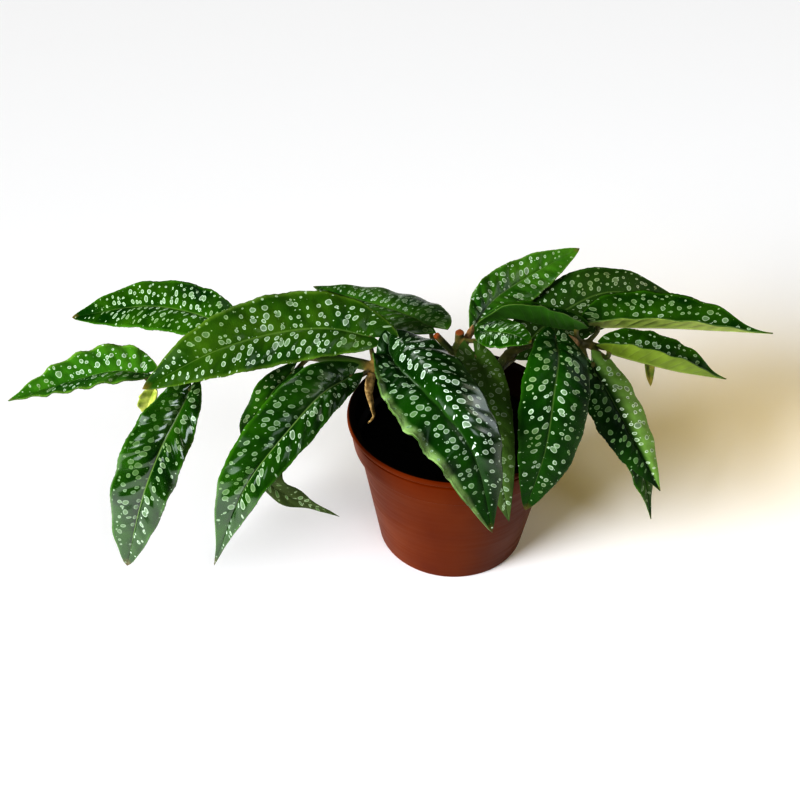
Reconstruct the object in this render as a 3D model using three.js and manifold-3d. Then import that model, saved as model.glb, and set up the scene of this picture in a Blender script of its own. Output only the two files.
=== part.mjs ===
// Potted polka dot begonia: spotted angel-wing leaves on three arching canes,
// in a round nursery pot filled with dark soil.
// All lengths in millimetres, +Z up, the pot stands on z = 0 with its axis on Z.
// The camera side of the plant is -Y.
import * as THREE from 'three';
import { mergeVertices } from 'three/addons/utils/BufferGeometryUtils.js';
import Module from 'manifold-3d';

const wasm = await Module();
wasm.setup();

// Pot
const POT_HEIGHT = 88;
const POT_LIP_RADIUS = 60;
const POT_LIP_HEIGHT = 2.5;
const POT_COLLAR_TOP_RADIUS = 59;
const POT_COLLAR_FOOT_RADIUS = 57;
const POT_COLLAR_HEIGHT = 18;
const POT_BODY_TOP_RADIUS = 54;
const POT_BASE_RADIUS = 43;
const POT_WALL = 1.4;
const POT_FLOOR = 2.6;
const POT_SEGMENTS = 56;
const DRAIN_HOLE_RADIUS = 4;
const DRAIN_HOLE_RING = 31;
const DRAIN_HOLE_COUNT = 6;

// Soil
const SOIL_TOP = 70;
const SOIL_CLEARANCE = 0.3;
const SOIL_MOUND = 3;
const STEM_HOLE_GAP = 0.3;
const STEM_HOLE_DEPTH = 22;

// Leaf blades
const BLADE_THICKNESS = 0.8;
const BLADE_ROWS = 14;
const BLADE_COLUMNS = 8;
const PETIOLE_GAP = 0.3;
const EDGE_ROUNDING = 0.58;

const COLOURS = {
  pot: 0x84391c,
  soil: 0x17110d,
  cane: 0x6b5a2c,
  leaf: 0x1c5216,
  bud: 0xa9b84f,
  dried: 0xa8743c,
  stipule: 0xc79a80,
};

function material(colour, roughness) {
  return new THREE.MeshStandardMaterial({ color: colour, roughness, metalness: 0 });
}

function vec(p) {
  return new THREE.Vector3(p[0], p[1], p[2]);
}

// Solid helpers: three.js geometry to and from the boolean kernel
function toSolid(geometry) {
  const bare = new THREE.BufferGeometry();
  bare.setAttribute('position', geometry.getAttribute('position').clone());
  if (geometry.index) {
    bare.setIndex(geometry.index.clone());
  }
  const welded = mergeVertices(bare, 1e-4);
  const mesh = new wasm.Mesh({
    numProp: 3,
    vertProperties: new Float32Array(welded.getAttribute('position').array),
    triVerts: new Uint32Array(welded.index.array),
  });
  return new wasm.Manifold(mesh);
}

function fromSolid(solid) {
  const mesh = solid.getMesh();
  const geometry = new THREE.BufferGeometry();
  geometry.setAttribute('position', new THREE.BufferAttribute(mesh.vertProperties, 3));
  geometry.setIndex(new THREE.BufferAttribute(mesh.triVerts, 1));
  return geometry;
}

function lathe(profile, segments) {
  const points = profile.map(([r, z]) => new THREE.Vector2(r, z));
  return new THREE.LatheGeometry(points, segments).rotateX(Math.PI / 2);
}

function upright(geometry, x, y, z) {
  return geometry.rotateX(Math.PI / 2).translate(x, y, z);
}

function meshOf(name, geometry, mat) {
  const mesh = new THREE.Mesh(geometry, mat);
  mesh.name = name;
  return mesh;
}

// Tube with closed ends whose radius changes along a smooth line of points.
// Each point is [x, y, z, radius].
function taperedTube(points, sides, stepsPerSpan) {
  const line = new THREE.CatmullRomCurve3(points.map(vec), false, 'centripetal');
  const steps = stepsPerSpan * (points.length - 1);
  const frames = line.computeFrenetFrames(steps, false);
  const positions = [];
  const faces = [];
  for (let i = 0; i <= steps; i += 1) {
    const t = i / steps;
    const place = t * (points.length - 1);
    const k = Math.min(Math.floor(place), points.length - 2);
    const radius = THREE.MathUtils.lerp(points[k][3], points[k + 1][3], place - k);
    const centre = line.getPoint(t);
    for (let j = 0; j < sides; j += 1) {
      const a = (2 * Math.PI * j) / sides;
      const p = centre.clone();
      p.addScaledVector(frames.normals[i], radius * Math.cos(a));
      p.addScaledVector(frames.binormals[i], radius * Math.sin(a));
      positions.push(p.x, p.y, p.z);
    }
  }
  for (let i = 0; i < steps; i += 1) {
    for (let j = 0; j < sides; j += 1) {
      const a = i * sides + j;
      const b = i * sides + ((j + 1) % sides);
      faces.push(a, b, b + sides, a, b + sides, a + sides);
    }
  }
  const first = line.getPoint(0);
  const last = line.getPoint(1);
  positions.push(first.x, first.y, first.z, last.x, last.y, last.z);
  const head = (steps + 1) * sides;
  for (let j = 0; j < sides; j += 1) {
    const next = (j + 1) % sides;
    faces.push(head, next, j);
    faces.push(head + 1, steps * sides + j, steps * sides + next);
  }
  const geometry = new THREE.BufferGeometry();
  geometry.setAttribute('position', new THREE.Float32BufferAttribute(positions, 3));
  geometry.setIndex(faces);
  return geometry;
}

// One angel-wing blade. `line` runs from the petiole joint to the tip along the
// midrib, `face` is the way the upper side looks. Right and left are as seen
// from above with the tip ahead. Each half leaves the midrib at `fold` degrees
// and has turned to `droop` degrees at its margin; positive is upwards.
function bladePoint(leaf, curve, length, u, v) {
  const right = u > 0;
  const lobe = right ? leaf.lobes[1] : leaf.lobes[0];
  const taper = (EDGE_ROUNDING * (1 - leaf.widest)) / leaf.widest;
  const spread = Math.pow(v / leaf.widest, EDGE_ROUNDING);
  const narrowing = Math.pow((1 - v) / (1 - leaf.widest), taper);
  const half = right ? leaf.widths[1] : leaf.widths[0];
  const tooth = 1 + 0.03 * Math.sin(2 * Math.PI * leaf.waves * 1.7 * v + leaf.phase);
  const outX = half * spread * narrowing * tooth;
  const outY = -lobe + (length + lobe) * v;
  const ribY = length * Math.pow(v, 1.6);
  const across = Math.abs(u);
  const x = outX * across;
  const y = THREE.MathUtils.lerp(ribY, outY, across);

  // Place on the midrib, carried straight on behind the joint for the lobes
  const t = THREE.MathUtils.clamp(y / length, 0, 1);
  const centre = curve.getPointAt(t);
  const ahead = curve.getTangentAt(t);
  if (y < 0) {
    centre.addScaledVector(ahead, y);
  }
  const facing = vec(leaf.face);
  if (leaf.faceTip) {
    facing.lerp(vec(leaf.faceTip), t);
  }
  const side = new THREE.Vector3().crossVectors(ahead, facing).normalize();
  const up = new THREE.Vector3().crossVectors(side, ahead);

  // Fold and droop, the half bending on a round arc
  const fold = THREE.MathUtils.degToRad(right ? leaf.fold[1] : leaf.fold[0]);
  const edge = THREE.MathUtils.degToRad(right ? leaf.droop[1] : leaf.droop[0]);
  const turn = fold + 0.5 * (edge - fold) * (x / half);
  const wave = leaf.wave * Math.sin(2 * Math.PI * leaf.waves * v + leaf.phase + (right ? 0 : 2));
  const lift = wave * Math.pow(across, 3) * Math.min(1, 4 * (1 - v)) * Math.min(1, 6 * v);
  const out = x * Math.cos(turn);
  const rise = x * Math.sin(turn) + lift;
  centre.addScaledVector(side, Math.sign(u) * out);
  centre.addScaledVector(up, rise);
  return centre;
}

function bladeGeometry(leaf) {
  const curve = new THREE.CatmullRomCurve3(leaf.line.map(vec), false, 'centripetal');
  const length = curve.getLength();
  const rows = leaf.rows ?? BLADE_ROWS;
  const columns = leaf.columns ?? BLADE_COLUMNS;
  const firstV = 0.007;
  const sheet = [];
  for (let i = 0; i < rows; i += 1) {
    const v = firstV + (1 - firstV) * Math.pow(i / rows, 1.45);
    for (let j = 0; j <= columns; j += 1) {
      sheet.push(bladePoint(leaf, curve, length, (2 * j) / columns - 1, v));
    }
  }
  const tip = sheet.length;
  sheet.push(curve.getPointAt(1));

  const faces = [];
  const wide = columns + 1;
  for (let i = 0; i < rows - 1; i += 1) {
    for (let j = 0; j < columns; j += 1) {
      const a = i * wide + j;
      faces.push([a, a + 1, a + wide + 1], [a, a + wide + 1, a + wide]);
    }
  }
  for (let j = 0; j < columns; j += 1) {
    const a = (rows - 1) * wide + j;
    faces.push([a, a + 1, tip]);
  }

  // Normals of the sheet, then both faces half the thickness away from it
  const normals = sheet.map(() => new THREE.Vector3());
  for (const [a, b, c] of faces) {
    const n = new THREE.Vector3().crossVectors(
      sheet[b].clone().sub(sheet[a]),
      sheet[c].clone().sub(sheet[a]),
    );
    normals[a].add(n);
    normals[b].add(n);
    normals[c].add(n);
  }
  const positions = [];
  for (const way of [0.5, -0.5]) {
    sheet.forEach((p, i) => {
      const n = normals[i].clone().normalize();
      const q = p.clone().addScaledVector(n, way * BLADE_THICKNESS);
      positions.push(q.x, q.y, q.z);
    });
  }
  const count = sheet.length;
  const index = [];
  for (const [a, b, c] of faces) {
    index.push(a, b, c, a + count, c + count, b + count);
  }
  const rim = [];
  for (let j = 0; j < columns; j += 1) {
    rim.push(j);
  }
  for (let i = 0; i < rows; i += 1) {
    rim.push(i * wide + columns);
  }
  rim.push(tip);
  for (let i = rows - 1; i > 0; i -= 1) {
    rim.push(i * wide);
  }
  rim.forEach((a, k) => {
    const b = rim[(k + 1) % rim.length];
    index.push(a, a + count, b + count, a, b + count, b);
  });
  const geometry = new THREE.BufferGeometry();
  geometry.setAttribute('position', new THREE.Float32BufferAttribute(positions, 3));
  geometry.setIndex(index);
  return geometry;
}

// Leaves. widths, lobes, fold and droop are [left, right].
const LEAVES = {
  leaf_left_back: {
    line: [[-127, 20, 123], [-152, 38, 120], [-189, 58, 111], [-245, 75, 89]],
    face: [0.1, -0.5, 0.85],
    widths: [16, 18], lobes: [8, 8], fold: [10, 12], droop: [-20, -8],
    wave: 1.6, waves: 5, phase: 0.4, widest: 0.42,
  },
  leaf_left_tip: {
    line: [[-168, -6, 108], [-186, -6, 109], [-209, -8, 103], [-247, -15, 91]],
    face: [-0.05, -0.3, 1],
    widths: [15, 16], lobes: [4, 6], fold: [32, 28], droop: [12, 0],
    wave: 1.6, waves: 6, phase: 1.0, widest: 0.36,
  },
  leaf_left_long: {
    line: [[-44, -5, 137], [-66, -6, 142], [-92, -10, 141], [-123, -22, 136], [-160, -35, 119]],
    face: [0.1, -0.6, 0.75],
    widths: [17, 21], lobes: [5, 14], fold: [8, 8], droop: [-22, -12],
    wave: 1.4, waves: 6, phase: 2.2, widest: 0.42,
  },
  leaf_left_hanging: {
    line: [[-139, -22, 113], [-144, -37, 104], [-151, -52, 92], [-161, -64, 68], [-173, -72, 27]],
    face: [-0.1, -0.85, 0.3],
    widths: [14, 19], lobes: [6, 6], fold: [10, 10], droop: [-25, -25],
    wave: 1.8, waves: 5, phase: 0.0, widest: 0.45,
  },
  leaf_left_front: {
    line: [[-53, -20, 124], [-66, -41, 127], [-81, -64, 119], [-98, -82, 101], [-117, -92, 54]],
    face: [-0.1, -0.7, 0.7],
    widths: [12, 18], lobes: [6, 8], fold: [10, 10], droop: [-30, -15],
    wave: 1.5, waves: 6, phase: 1.5, widest: 0.36,
  },
  leaf_left_under: {
    line: [[-87, -8, 116], [-98, -20, 108], [-107, -26, 82], [-102, -28, 51], [-63, -30, 31]],
    face: [-0.3, -0.9, 0.3],
    widths: [14, 10], lobes: [6, 6], fold: [10, 10], droop: [-25, -25],
    wave: 1.5, waves: 5, phase: 2.5, widest: 0.35,
  },
  leaf_back_left: {
    line: [[-15, 26, 125], [-28, 42, 122], [-56, 72, 112], [-96, 110, 98]],
    face: [0.2, -0.3, 0.9],
    widths: [18, 22], lobes: [8, 10], fold: [5, 8], droop: [-25, -25],
    wave: 1.4, waves: 5, phase: 0.7, widest: 0.36,
  },
  leaf_centre_front: {
    line: [[-30, -17, 145], [-20, -36, 149], [-6, -60, 146], [10, -79, 129], [20, -86, 82]],
    face: [0.1, -0.45, 0.9],
    widths: [19, 27], lobes: [12, 15], fold: [-10, -8], droop: [-30, -35],
    wave: 2.0, waves: 6, phase: 0.2, widest: 0.38,
  },
  leaf_centre_middle: {
    line: [[8, -14, 136], [13, -32, 134], [18, -53, 120], [29, -69, 73]],
    face: [0, -0.7, 0.6],
    widths: [11, 16], lobes: [10, 12], fold: [5, 5], droop: [-30, -30],
    wave: 1.2, waves: 5, phase: 1.9, widest: 0.38,
  },
  leaf_centre_right: {
    line: [[47, -15, 150], [48, -32, 149], [46, -48, 138], [44, -58, 111], [37, -62, 75]],
    face: [0.2, -0.8, 0.5],
    widths: [20, 16], lobes: [6, 6], fold: [5, 5], droop: [-35, -30],
    wave: 1.5, waves: 5, phase: 0.9, widest: 0.42,
  },
  leaf_right_hanging: {
    line: [[68, -8, 130], [76, -17, 122], [90, -28, 102], [109, -35, 68]],
    face: [0.5, -0.7, 0.6],
    widths: [14, 15], lobes: [6, 6], fold: [5, 0], droop: [-25, -60],
    wave: 1.3, waves: 5, phase: 2.8, widest: 0.38,
  },
  leaf_right_behind: {
    line: [[75, 0, 118], [87, -4, 98], [103, -9, 66], [114, -14, 27]],
    face: [0.6, -0.6, 0.5],
    widths: [11, 11], lobes: [5, 5], fold: [5, 5], droop: [-30, -30],
    wave: 1.2, waves: 5, phase: 0.5, widest: 0.4,
  },
  leaf_back_centre: {
    line: [[8, 18, 133], [17, 36, 137], [37, 58, 141], [66, 76, 150]],
    face: [0.1, -0.5, 0.85],
    widths: [14, 14], lobes: [6, 8], fold: [8, 8], droop: [-15, -15],
    wave: 1.3, waves: 5, phase: 1.1, widest: 0.42,
  },
  leaf_back_right: {
    line: [[34, 23, 116], [55, 41, 128], [84, 57, 134], [131, 65, 120]],
    face: [0.1, -0.4, 0.9],
    widths: [20, 20], lobes: [8, 8], fold: [5, 5], droop: [-20, -20],
    wave: 1.3, waves: 5, phase: 2.0, widest: 0.42,
  },
  leaf_right_inner: {
    line: [[61, 2, 143], [47, 6, 142], [27, 8, 145], [9, 8, 140]],
    face: [0, 0, 1],
    widths: [13, 14], lobes: [5, 5], fold: [60, 20], droop: [75, 0],
    wave: 1.0, waves: 4, phase: 0.2, widest: 0.42,
  },
  leaf_right_long: {
    line: [[70, 14, 141], [88, 14, 143], [117, 10, 146], [156, 0, 148]],
    face: [0, 0, 1],
    widths: [24, 14], lobes: [8, 8], fold: [20, 50], droop: [0, 60],
    wave: 1.3, waves: 5, phase: 1.4, widest: 0.34,
  },
  leaf_right_front: {
    line: [[75, -2, 137], [87, -5, 136], [106, -10, 134], [134, -15, 129]],
    face: [0, 0, 1],
    widths: [18, 14], lobes: [6, 6], fold: [30, 65], droop: [-5, 80],
    wave: 1.2, waves: 5, phase: 0.1, widest: 0.4,
  },
  leaf_small_glossy: {
    line: [[11, -4, 143], [19, -12, 148], [27, -19, 151], [35, -25, 151]],
    face: [0, -0.5, 0.85],
    widths: [9, 9], lobes: [4, 4], fold: [5, 5], droop: [-25, -25],
    wave: 0.8, waves: 4, phase: 1.3, widest: 0.45,
  },
};

// Buds and papery scales are small blades of the same make
const SMALL_BLADES = {
  terminal_bud: {
    line: [[-164.5, -9.6, 100.2], [-167.5, -12, 94], [-171, -14, 86]],
    face: [0, -0.9, 0.4], colour: COLOURS.bud,
    widths: [5, 6], lobes: [1, 1], fold: [20, 20], droop: [50, 40],
    wave: 1, waves: 3, phase: 0.3, widest: 0.5, rows: 10, columns: 6,
  },
  hanging_bud_right: {
    line: [[98.3, 1.4, 126.4], [99.5, 0, 121], [101, -2, 114]],
    face: [0.2, -0.9, 0.2], colour: COLOURS.bud,
    widths: [2.6, 2.6], lobes: [0.6, 0.6], fold: [20, 20], droop: [40, 40],
    wave: 0.3, waves: 2, phase: 0.3, widest: 0.4, rows: 7, columns: 4,
  },
  stipule_centre: {
    line: [[3.6, 6.8, 129.6], [5.8, 6.4, 134], [6.6, 6.4, 140]],
    face: [0.5, -0.8, 0.2], colour: COLOURS.stipule,
    widths: [2.6, 2.6], lobes: [0.6, 0.6], fold: [-15, -15], droop: [-40, -40],
    wave: 0.2, waves: 2, phase: 0.3, widest: 0.4, rows: 7, columns: 4,
  },
  stipule_right_upper: {
    line: [[61.4, 0.8, 133.6], [57, -3, 139], [51, -3, 143]],
    face: [-0.2, -0.8, 0.5], colour: COLOURS.stipule,
    widths: [2.4, 2.4], lobes: [0.6, 0.6], fold: [-15, -15], droop: [-40, -40],
    wave: 0.2, waves: 2, phase: 0.3, widest: 0.4, rows: 7, columns: 4,
  },
};

// Dried flower stalk hanging from the first joint of the left cane
const DRIED_STALK = [
  [-45.4, -9.4, 115.4, 1.5], [-46.5, -12.5, 108, 1.6], [-45, -14, 99, 1.1],
  [-44, -14.5, 92, 0.8], [-47, -15, 88, 0.6],
];

function potGeometry() {
  const inner = POT_WALL;
  const h = POT_HEIGHT;
  const collarFoot = h - POT_COLLAR_HEIGHT;
  const shelf = POT_BODY_TOP_RADIUS;
  return lathe([
    [0, 0],
    [POT_BASE_RADIUS - 0.8, 0],
    [POT_BASE_RADIUS, 0.8],
    [shelf, collarFoot - 1.5],
    [POT_COLLAR_FOOT_RADIUS - 0.6, collarFoot],
    [POT_COLLAR_FOOT_RADIUS, collarFoot + 0.6],
    [POT_COLLAR_TOP_RADIUS, h - POT_LIP_HEIGHT - 0.4],
    [POT_LIP_RADIUS, h - POT_LIP_HEIGHT],
    [POT_LIP_RADIUS, h - 0.6],
    [POT_LIP_RADIUS - 0.6, h],
    [POT_LIP_RADIUS - 2, h],
    [POT_COLLAR_TOP_RADIUS - inner - 0.6, h - 1],
    [POT_COLLAR_FOOT_RADIUS - inner - 0.2, collarFoot + 1.6],
    [shelf - inner, collarFoot - 0.6],
    [POT_BASE_RADIUS - inner, POT_FLOOR],
    [0, POT_FLOOR],
  ], POT_SEGMENTS);
}

function potSolid() {
  let pot = toSolid(potGeometry());
  for (let i = 0; i < DRAIN_HOLE_COUNT; i += 1) {
    const a = (2 * Math.PI * (i + 0.5)) / DRAIN_HOLE_COUNT;
    const hole = upright(
      new THREE.CylinderGeometry(DRAIN_HOLE_RADIUS, DRAIN_HOLE_RADIUS, 20, 20),
      DRAIN_HOLE_RING * Math.cos(a),
      DRAIN_HOLE_RING * Math.sin(a),
      0,
    );
    pot = pot.subtract(toSolid(hole));
  }
  return pot;
}

function innerRadius(z) {
  const collarFoot = POT_HEIGHT - POT_COLLAR_HEIGHT;
  const low = POT_BASE_RADIUS - POT_WALL;
  const high = POT_BODY_TOP_RADIUS - POT_WALL;
  return THREE.MathUtils.mapLinear(z, POT_FLOOR, collarFoot - 0.6, low, high) - SOIL_CLEARANCE;
}

function soilSolid() {
  const floor = POT_FLOOR + SOIL_CLEARANCE;
  let soil = toSolid(lathe([
    [0, floor],
    [innerRadius(floor) - 1, floor],
    [innerRadius(SOIL_TOP - 3), SOIL_TOP - 3],
    [innerRadius(SOIL_TOP - 3) - 2, SOIL_TOP],
    [32, SOIL_TOP + 0.6 * SOIL_MOUND],
    [14, SOIL_TOP + SOIL_MOUND],
    [0, SOIL_TOP + SOIL_MOUND],
  ], POT_SEGMENTS));
  for (const cane of Object.values(CANES)) {
    const [x, y] = cane.line[0];
    const radius = cane.line[0][3] + STEM_HOLE_GAP;
    const bore = new THREE.CylinderGeometry(radius, radius, 2 * STEM_HOLE_DEPTH, 16);
    soil = soil.subtract(toSolid(upright(bore, x, y, SOIL_TOP)));
  }
  return soil;
}

// Canes. line holds [x, y, z, radius]; joints are the swollen nodes; each
// petiole starts inside the cane and stops just short of its blade.
const STEM_FOOT = SOIL_TOP - STEM_HOLE_DEPTH + STEM_HOLE_GAP;
const CANES = {
  cane_left: {
    line: [
      [-14, 4, STEM_FOOT, 3.2], [-14, 4, SOIL_TOP, 3.2], [-14.4, 4, 80, 3.1], [-22, 2, 100, 3],
      [-44, -4, 117, 2.8], [-82, 0, 120, 2.4], [-118, 2, 117, 2.2], [-150, -5, 108, 1.8],
      [-163, -9, 101, 1.4],
    ],
    knobs: [[-18, 3, 92, 3.8], [-44, -5, 117, 3.9], [-82, 0, 120, 3.2], [-119, 2, 117, 3], [-149, -5, 108, 2.5]],
    petioles: {
      leaf_left_long: [-44, -4, 118],
      leaf_left_front: [-46, -6, 117],
      leaf_centre_front: [-24, 0, 104],
      leaf_left_under: [-80, 0, 119],
      leaf_left_back: [-119, 2, 117],
      leaf_left_hanging: [-136, -2, 112],
      leaf_left_tip: [-150, -5, 108],
    },
  },
  cane_centre: {
    line: [
      [2, 12, STEM_FOOT, 3], [2, 12, SOIL_TOP, 3], [2, 12, 80, 3], [1, 11, 100, 2.8], [0, 8, 122, 2.6],
      [0, 5, 136, 2.4],
    ],
    knobs: [[1, 11, 96, 3.6], [0, 7, 126, 3.4]],
    stubs: [[[-1, 8, 118, 2], [-8, 7, 127, 2], [-12.5, 6, 133, 1.9]]],
    petioles: {
      leaf_centre_middle: [0, 7, 126],
      leaf_back_left: [0, 9, 114],
      leaf_back_centre: [1, 9, 118],
      leaf_small_glossy: [0, 6, 130],
    },
  },
  cane_right: {
    line: [
      [16, 2, STEM_FOOT, 3], [16, 2, SOIL_TOP, 3], [16, 2, 80, 3], [18, 3, 100, 2.8],
      [26, 6, 122, 2.6], [44, 6, 132, 2.4], [64, 5, 132, 2.2], [80, 4, 130, 1.3], [98, 2, 128.5, 0.9],
    ],
    knobs: [[17, 3, 94, 3.6], [27, 6, 123, 3.3], [45, 6, 132, 3.1], [64, 5, 132, 3.1]],
    petioles: {
      leaf_centre_right: [45, 6, 132],
      leaf_right_inner: [64, 5, 132],
      leaf_right_long: [66, 5, 132],
      leaf_right_front: [68, 5, 131],
      leaf_right_hanging: [64, 4, 131],
      leaf_right_behind: [64, 7, 130],
      leaf_back_right: [22, 5, 112],
    },
  },
};

const PETIOLE_RADIUS = 1.3;

// Under side of a blade at its joint: the point, and the way down from it
function jointBelow(leaf) {
  const curve = new THREE.CatmullRomCurve3(leaf.line.map(vec), false, 'centripetal');
  const ahead = curve.getTangentAt(0);
  const side = new THREE.Vector3().crossVectors(ahead, vec(leaf.face)).normalize();
  const up = new THREE.Vector3().crossVectors(side, ahead);
  return { point: curve.getPointAt(0).addScaledVector(ahead, 1.5), down: up.negate() };
}

function petioleSolid(root, leaf) {
  const { point, down } = jointBelow(leaf);
  const start = vec(root);
  const sink = Math.tan(THREE.MathUtils.degToRad(Math.max(0, -leaf.fold[0], -leaf.fold[1])));
  const gap = BLADE_THICKNESS / 2 + PETIOLE_GAP + PETIOLE_RADIUS * sink;
  const end = point.clone().addScaledVector(down, gap);
  const near = end.clone().addScaledVector(down, 0.3 * start.distanceTo(end));
  return toSolid(taperedTube([
    [...start.toArray(), PETIOLE_RADIUS + 0.4],
    [...near.toArray(), PETIOLE_RADIUS],
    [...end.toArray(), PETIOLE_RADIUS],
  ], 6, 2));
}

function caneSolid(cane) {
  let solid = toSolid(taperedTube(cane.line, 8, 2));
  for (const stub of cane.stubs ?? []) {
    solid = solid.add(toSolid(taperedTube(stub, 8, 2)));
  }
  for (const [x, y, z, radius] of cane.knobs) {
    const knob = new THREE.SphereGeometry(radius, 8, 6);
    knob.scale(1, 1, 0.8);
    solid = solid.add(toSolid(knob.translate(x, y, z)));
  }
  for (const [name, root] of Object.entries(cane.petioles)) {
    solid = solid.add(petioleSolid(root, LEAVES[name]));
  }
  return solid;
}

export function build() {
  const group = new THREE.Group();
  group.name = 'potted_polka_dot_begonia';
  group.add(meshOf('pot', fromSolid(potSolid()), material(COLOURS.pot, 0.4)));
  group.add(meshOf('soil', fromSolid(soilSolid()), material(COLOURS.soil, 0.95)));
  for (const [name, cane] of Object.entries(CANES)) {
    group.add(meshOf(name, fromSolid(caneSolid(cane)), material(COLOURS.cane, 0.6)));
  }
  for (const [name, leaf] of Object.entries(LEAVES)) {
    group.add(meshOf(name, bladeGeometry(leaf), material(COLOURS.leaf, 0.3)));
  }
  for (const [name, blade] of Object.entries(SMALL_BLADES)) {
    group.add(meshOf(name, bladeGeometry(blade), material(blade.colour, 0.5)));
  }
  group.add(meshOf('dried_flower_stalk', taperedTube(DRIED_STALK, 6, 3), material(COLOURS.dried, 0.7)));
  return group;
}

export default build();
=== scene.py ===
"""Potted polka dot begonia: spotted angel-wing leaves on three canes in a nursery pot.

Every length in the dataclasses is in millimetres, as on the real plant, and is turned to
metres once, where a mesh is made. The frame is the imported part's own: +Z up, the pot
stands on z = 0 with its axis on Z, and the photographed side is -Y.
"""
from __future__ import annotations

import logging
import math
import random
from dataclasses import dataclass, field, replace
from enum import Enum
from typing import Callable, Sequence

import bmesh
import bpy
from mathutils import Euler, Matrix, Vector, noise


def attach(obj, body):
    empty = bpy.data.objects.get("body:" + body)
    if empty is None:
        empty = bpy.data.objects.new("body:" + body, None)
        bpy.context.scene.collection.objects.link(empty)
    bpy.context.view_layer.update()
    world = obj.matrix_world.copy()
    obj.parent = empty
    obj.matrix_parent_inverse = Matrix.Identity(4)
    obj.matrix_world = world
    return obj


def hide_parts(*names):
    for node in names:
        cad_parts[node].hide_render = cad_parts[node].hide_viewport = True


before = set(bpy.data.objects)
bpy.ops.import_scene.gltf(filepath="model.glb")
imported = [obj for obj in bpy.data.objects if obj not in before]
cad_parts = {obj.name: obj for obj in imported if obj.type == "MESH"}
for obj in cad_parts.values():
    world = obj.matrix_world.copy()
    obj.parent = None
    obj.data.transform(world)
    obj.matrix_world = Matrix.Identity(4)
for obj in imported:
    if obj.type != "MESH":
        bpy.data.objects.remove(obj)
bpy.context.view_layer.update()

MM = 0.001
BODY = "root"
# Side veins leave the midrib in even steps of (share ** sweep + share) / 2
VEIN_COUNT = 12
VEIN_SWEEP = 1.6
# Share of the side veins' lean that rows of spots follow: at the midrib, and added at the margin
VEIN_SLANT = (0.225, 0.55)
# Share of a blade's length at which it starts to narrow to its tail
ACUMEN_FROM = 0.72
# How soon a midrib that starts off the middle comes back to it
RIB_RETURN = 1.3
SMOOTH = {"interpolation_type": "SMOOTHSTEP"}
COLOURS = {"data_type": "RGBA"}
LOG = logging.getLogger("begonia")

Pair = tuple[float, float]
Triple = tuple[float, float, float]
Quad = tuple[float, float, float, float]
Tree = bpy.types.NodeTree
Node = bpy.types.Node
Piece = bpy.types.Object
BMesh = bmesh.types.BMesh


def linear(hex_colour: str) -> Quad:
    """Turn an sRGB hex colour into the linear colour that a shader socket takes.

    Args:
        hex_colour: Six hex digits with a leading #.

    Returns:
        Linear red, green and blue with an alpha of one.
    """
    channels = [int(hex_colour[i : i + 2], 16) / 255 for i in (1, 3, 5)]
    low = [c / 12.92 if c <= 0.04045 else ((c + 0.055) / 1.055) ** 2.4 for c in channels]
    return (low[0], low[1], low[2], 1.0)


def feed(node: Node, feeds: dict[str | int, object]) -> None:
    """Set or link a node's inputs.

    Args:
        node: The node that is fed.
        feeds: Input name or number to a number, a vector, an sRGB hex colour, an output
            socket, or a node, which stands for its first output in use. By number, a Math
            node takes its operands from 0, MapRange the value in 0, the range it comes in
            in 1 and 2 and the range it goes out in in 3 and 4, and Mix the share in 0 and
            the two colours in 6 and 7.
    """
    for key, value in feeds.items():
        if isinstance(value, Node):
            value = next(socket for socket in value.outputs if socket.enabled)
        if isinstance(value, bpy.types.NodeSocket):
            node.id_data.links.new(value, node.inputs[key])
        else:
            node.inputs[key].default_value = linear(value) if isinstance(value, str) else value


def add_node(
    tree: Tree, kind: str, feeds: dict[str | int, object] | None = None,
    stops: Sequence[tuple[float, str]] = (), **settings: object
) -> Node:
    """Add one node, set its properties and feed its inputs.

    Args:
        tree: Node tree that takes the node.
        kind: Blender's name of the node's type, without ShaderNode.
        feeds: What its inputs are given, as in feed.
        stops: Positions and colours of a colour ramp's stops.
        settings: Properties of the node, by name.

    Returns:
        The new node.
    """
    node = tree.nodes.new("ShaderNode" + kind)
    for key, value in settings.items():
        setattr(node, key, value)
    for i, (place, shade) in enumerate(stops):
        node.color_ramp.elements[i].position = place
        node.color_ramp.elements[i].color = linear(shade)
    feed(node, feeds or {})
    return node


@dataclass(frozen=True)
class Finish:
    """What every finish has in common: its name and a clean Principled material."""

    name: str

    def make(self) -> bpy.types.Material:
        """Build the material once and give it back each time.

        Returns:
            The material.
        """
        material = bpy.data.materials.get(self.name)
        if material is None:
            material = bpy.data.materials.new(self.name)
            material.use_nodes = True
            material.node_tree.nodes.clear()
            shader = add_node(material.node_tree, "BsdfPrincipled")
            add_node(material.node_tree, "OutputMaterial", {"Surface": shader})
            self.dress(material.node_tree, shader)
        return material

    def dress(self, tree: Tree, shader: Node) -> None:
        """Add the finish's own nodes, which each kind of finish does in its own way.

        Args:
            tree: The material's node tree.
            shader: Its Principled shader.
        """
        raise NotImplementedError


@dataclass(frozen=True)
class BladeSide(Finish):
    """What both sides of a leaf share: the two maps that follow the blade's growth."""

    def maps(self, tree: Tree) -> tuple[Node, bpy.types.NodeSocket, bpy.types.NodeSocket, Node]:
        """Read the maps.

        Args:
            tree: The material's node tree.

        Returns:
            The vein map in units of 100 mm, the place from left margin to right and from
            sinus to tip, both 0 to 1, and the way out from the midrib, 0 to 1.
        """
        vein = add_node(tree, "UVMap", uv_map="BladeVein")
        plan = add_node(tree, "SeparateXYZ", {0: add_node(tree, "UVMap", uv_map="BladePlan")})
        out = add_node(tree, "Math", {0: plan.outputs[0], 1: 2.0, 2: -1.0}, operation="MULTIPLY_ADD")
        out = add_node(tree, "Math", {0: out}, operation="ABSOLUTE")
        return vein, plan.outputs[0], plan.outputs[1], out


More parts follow.
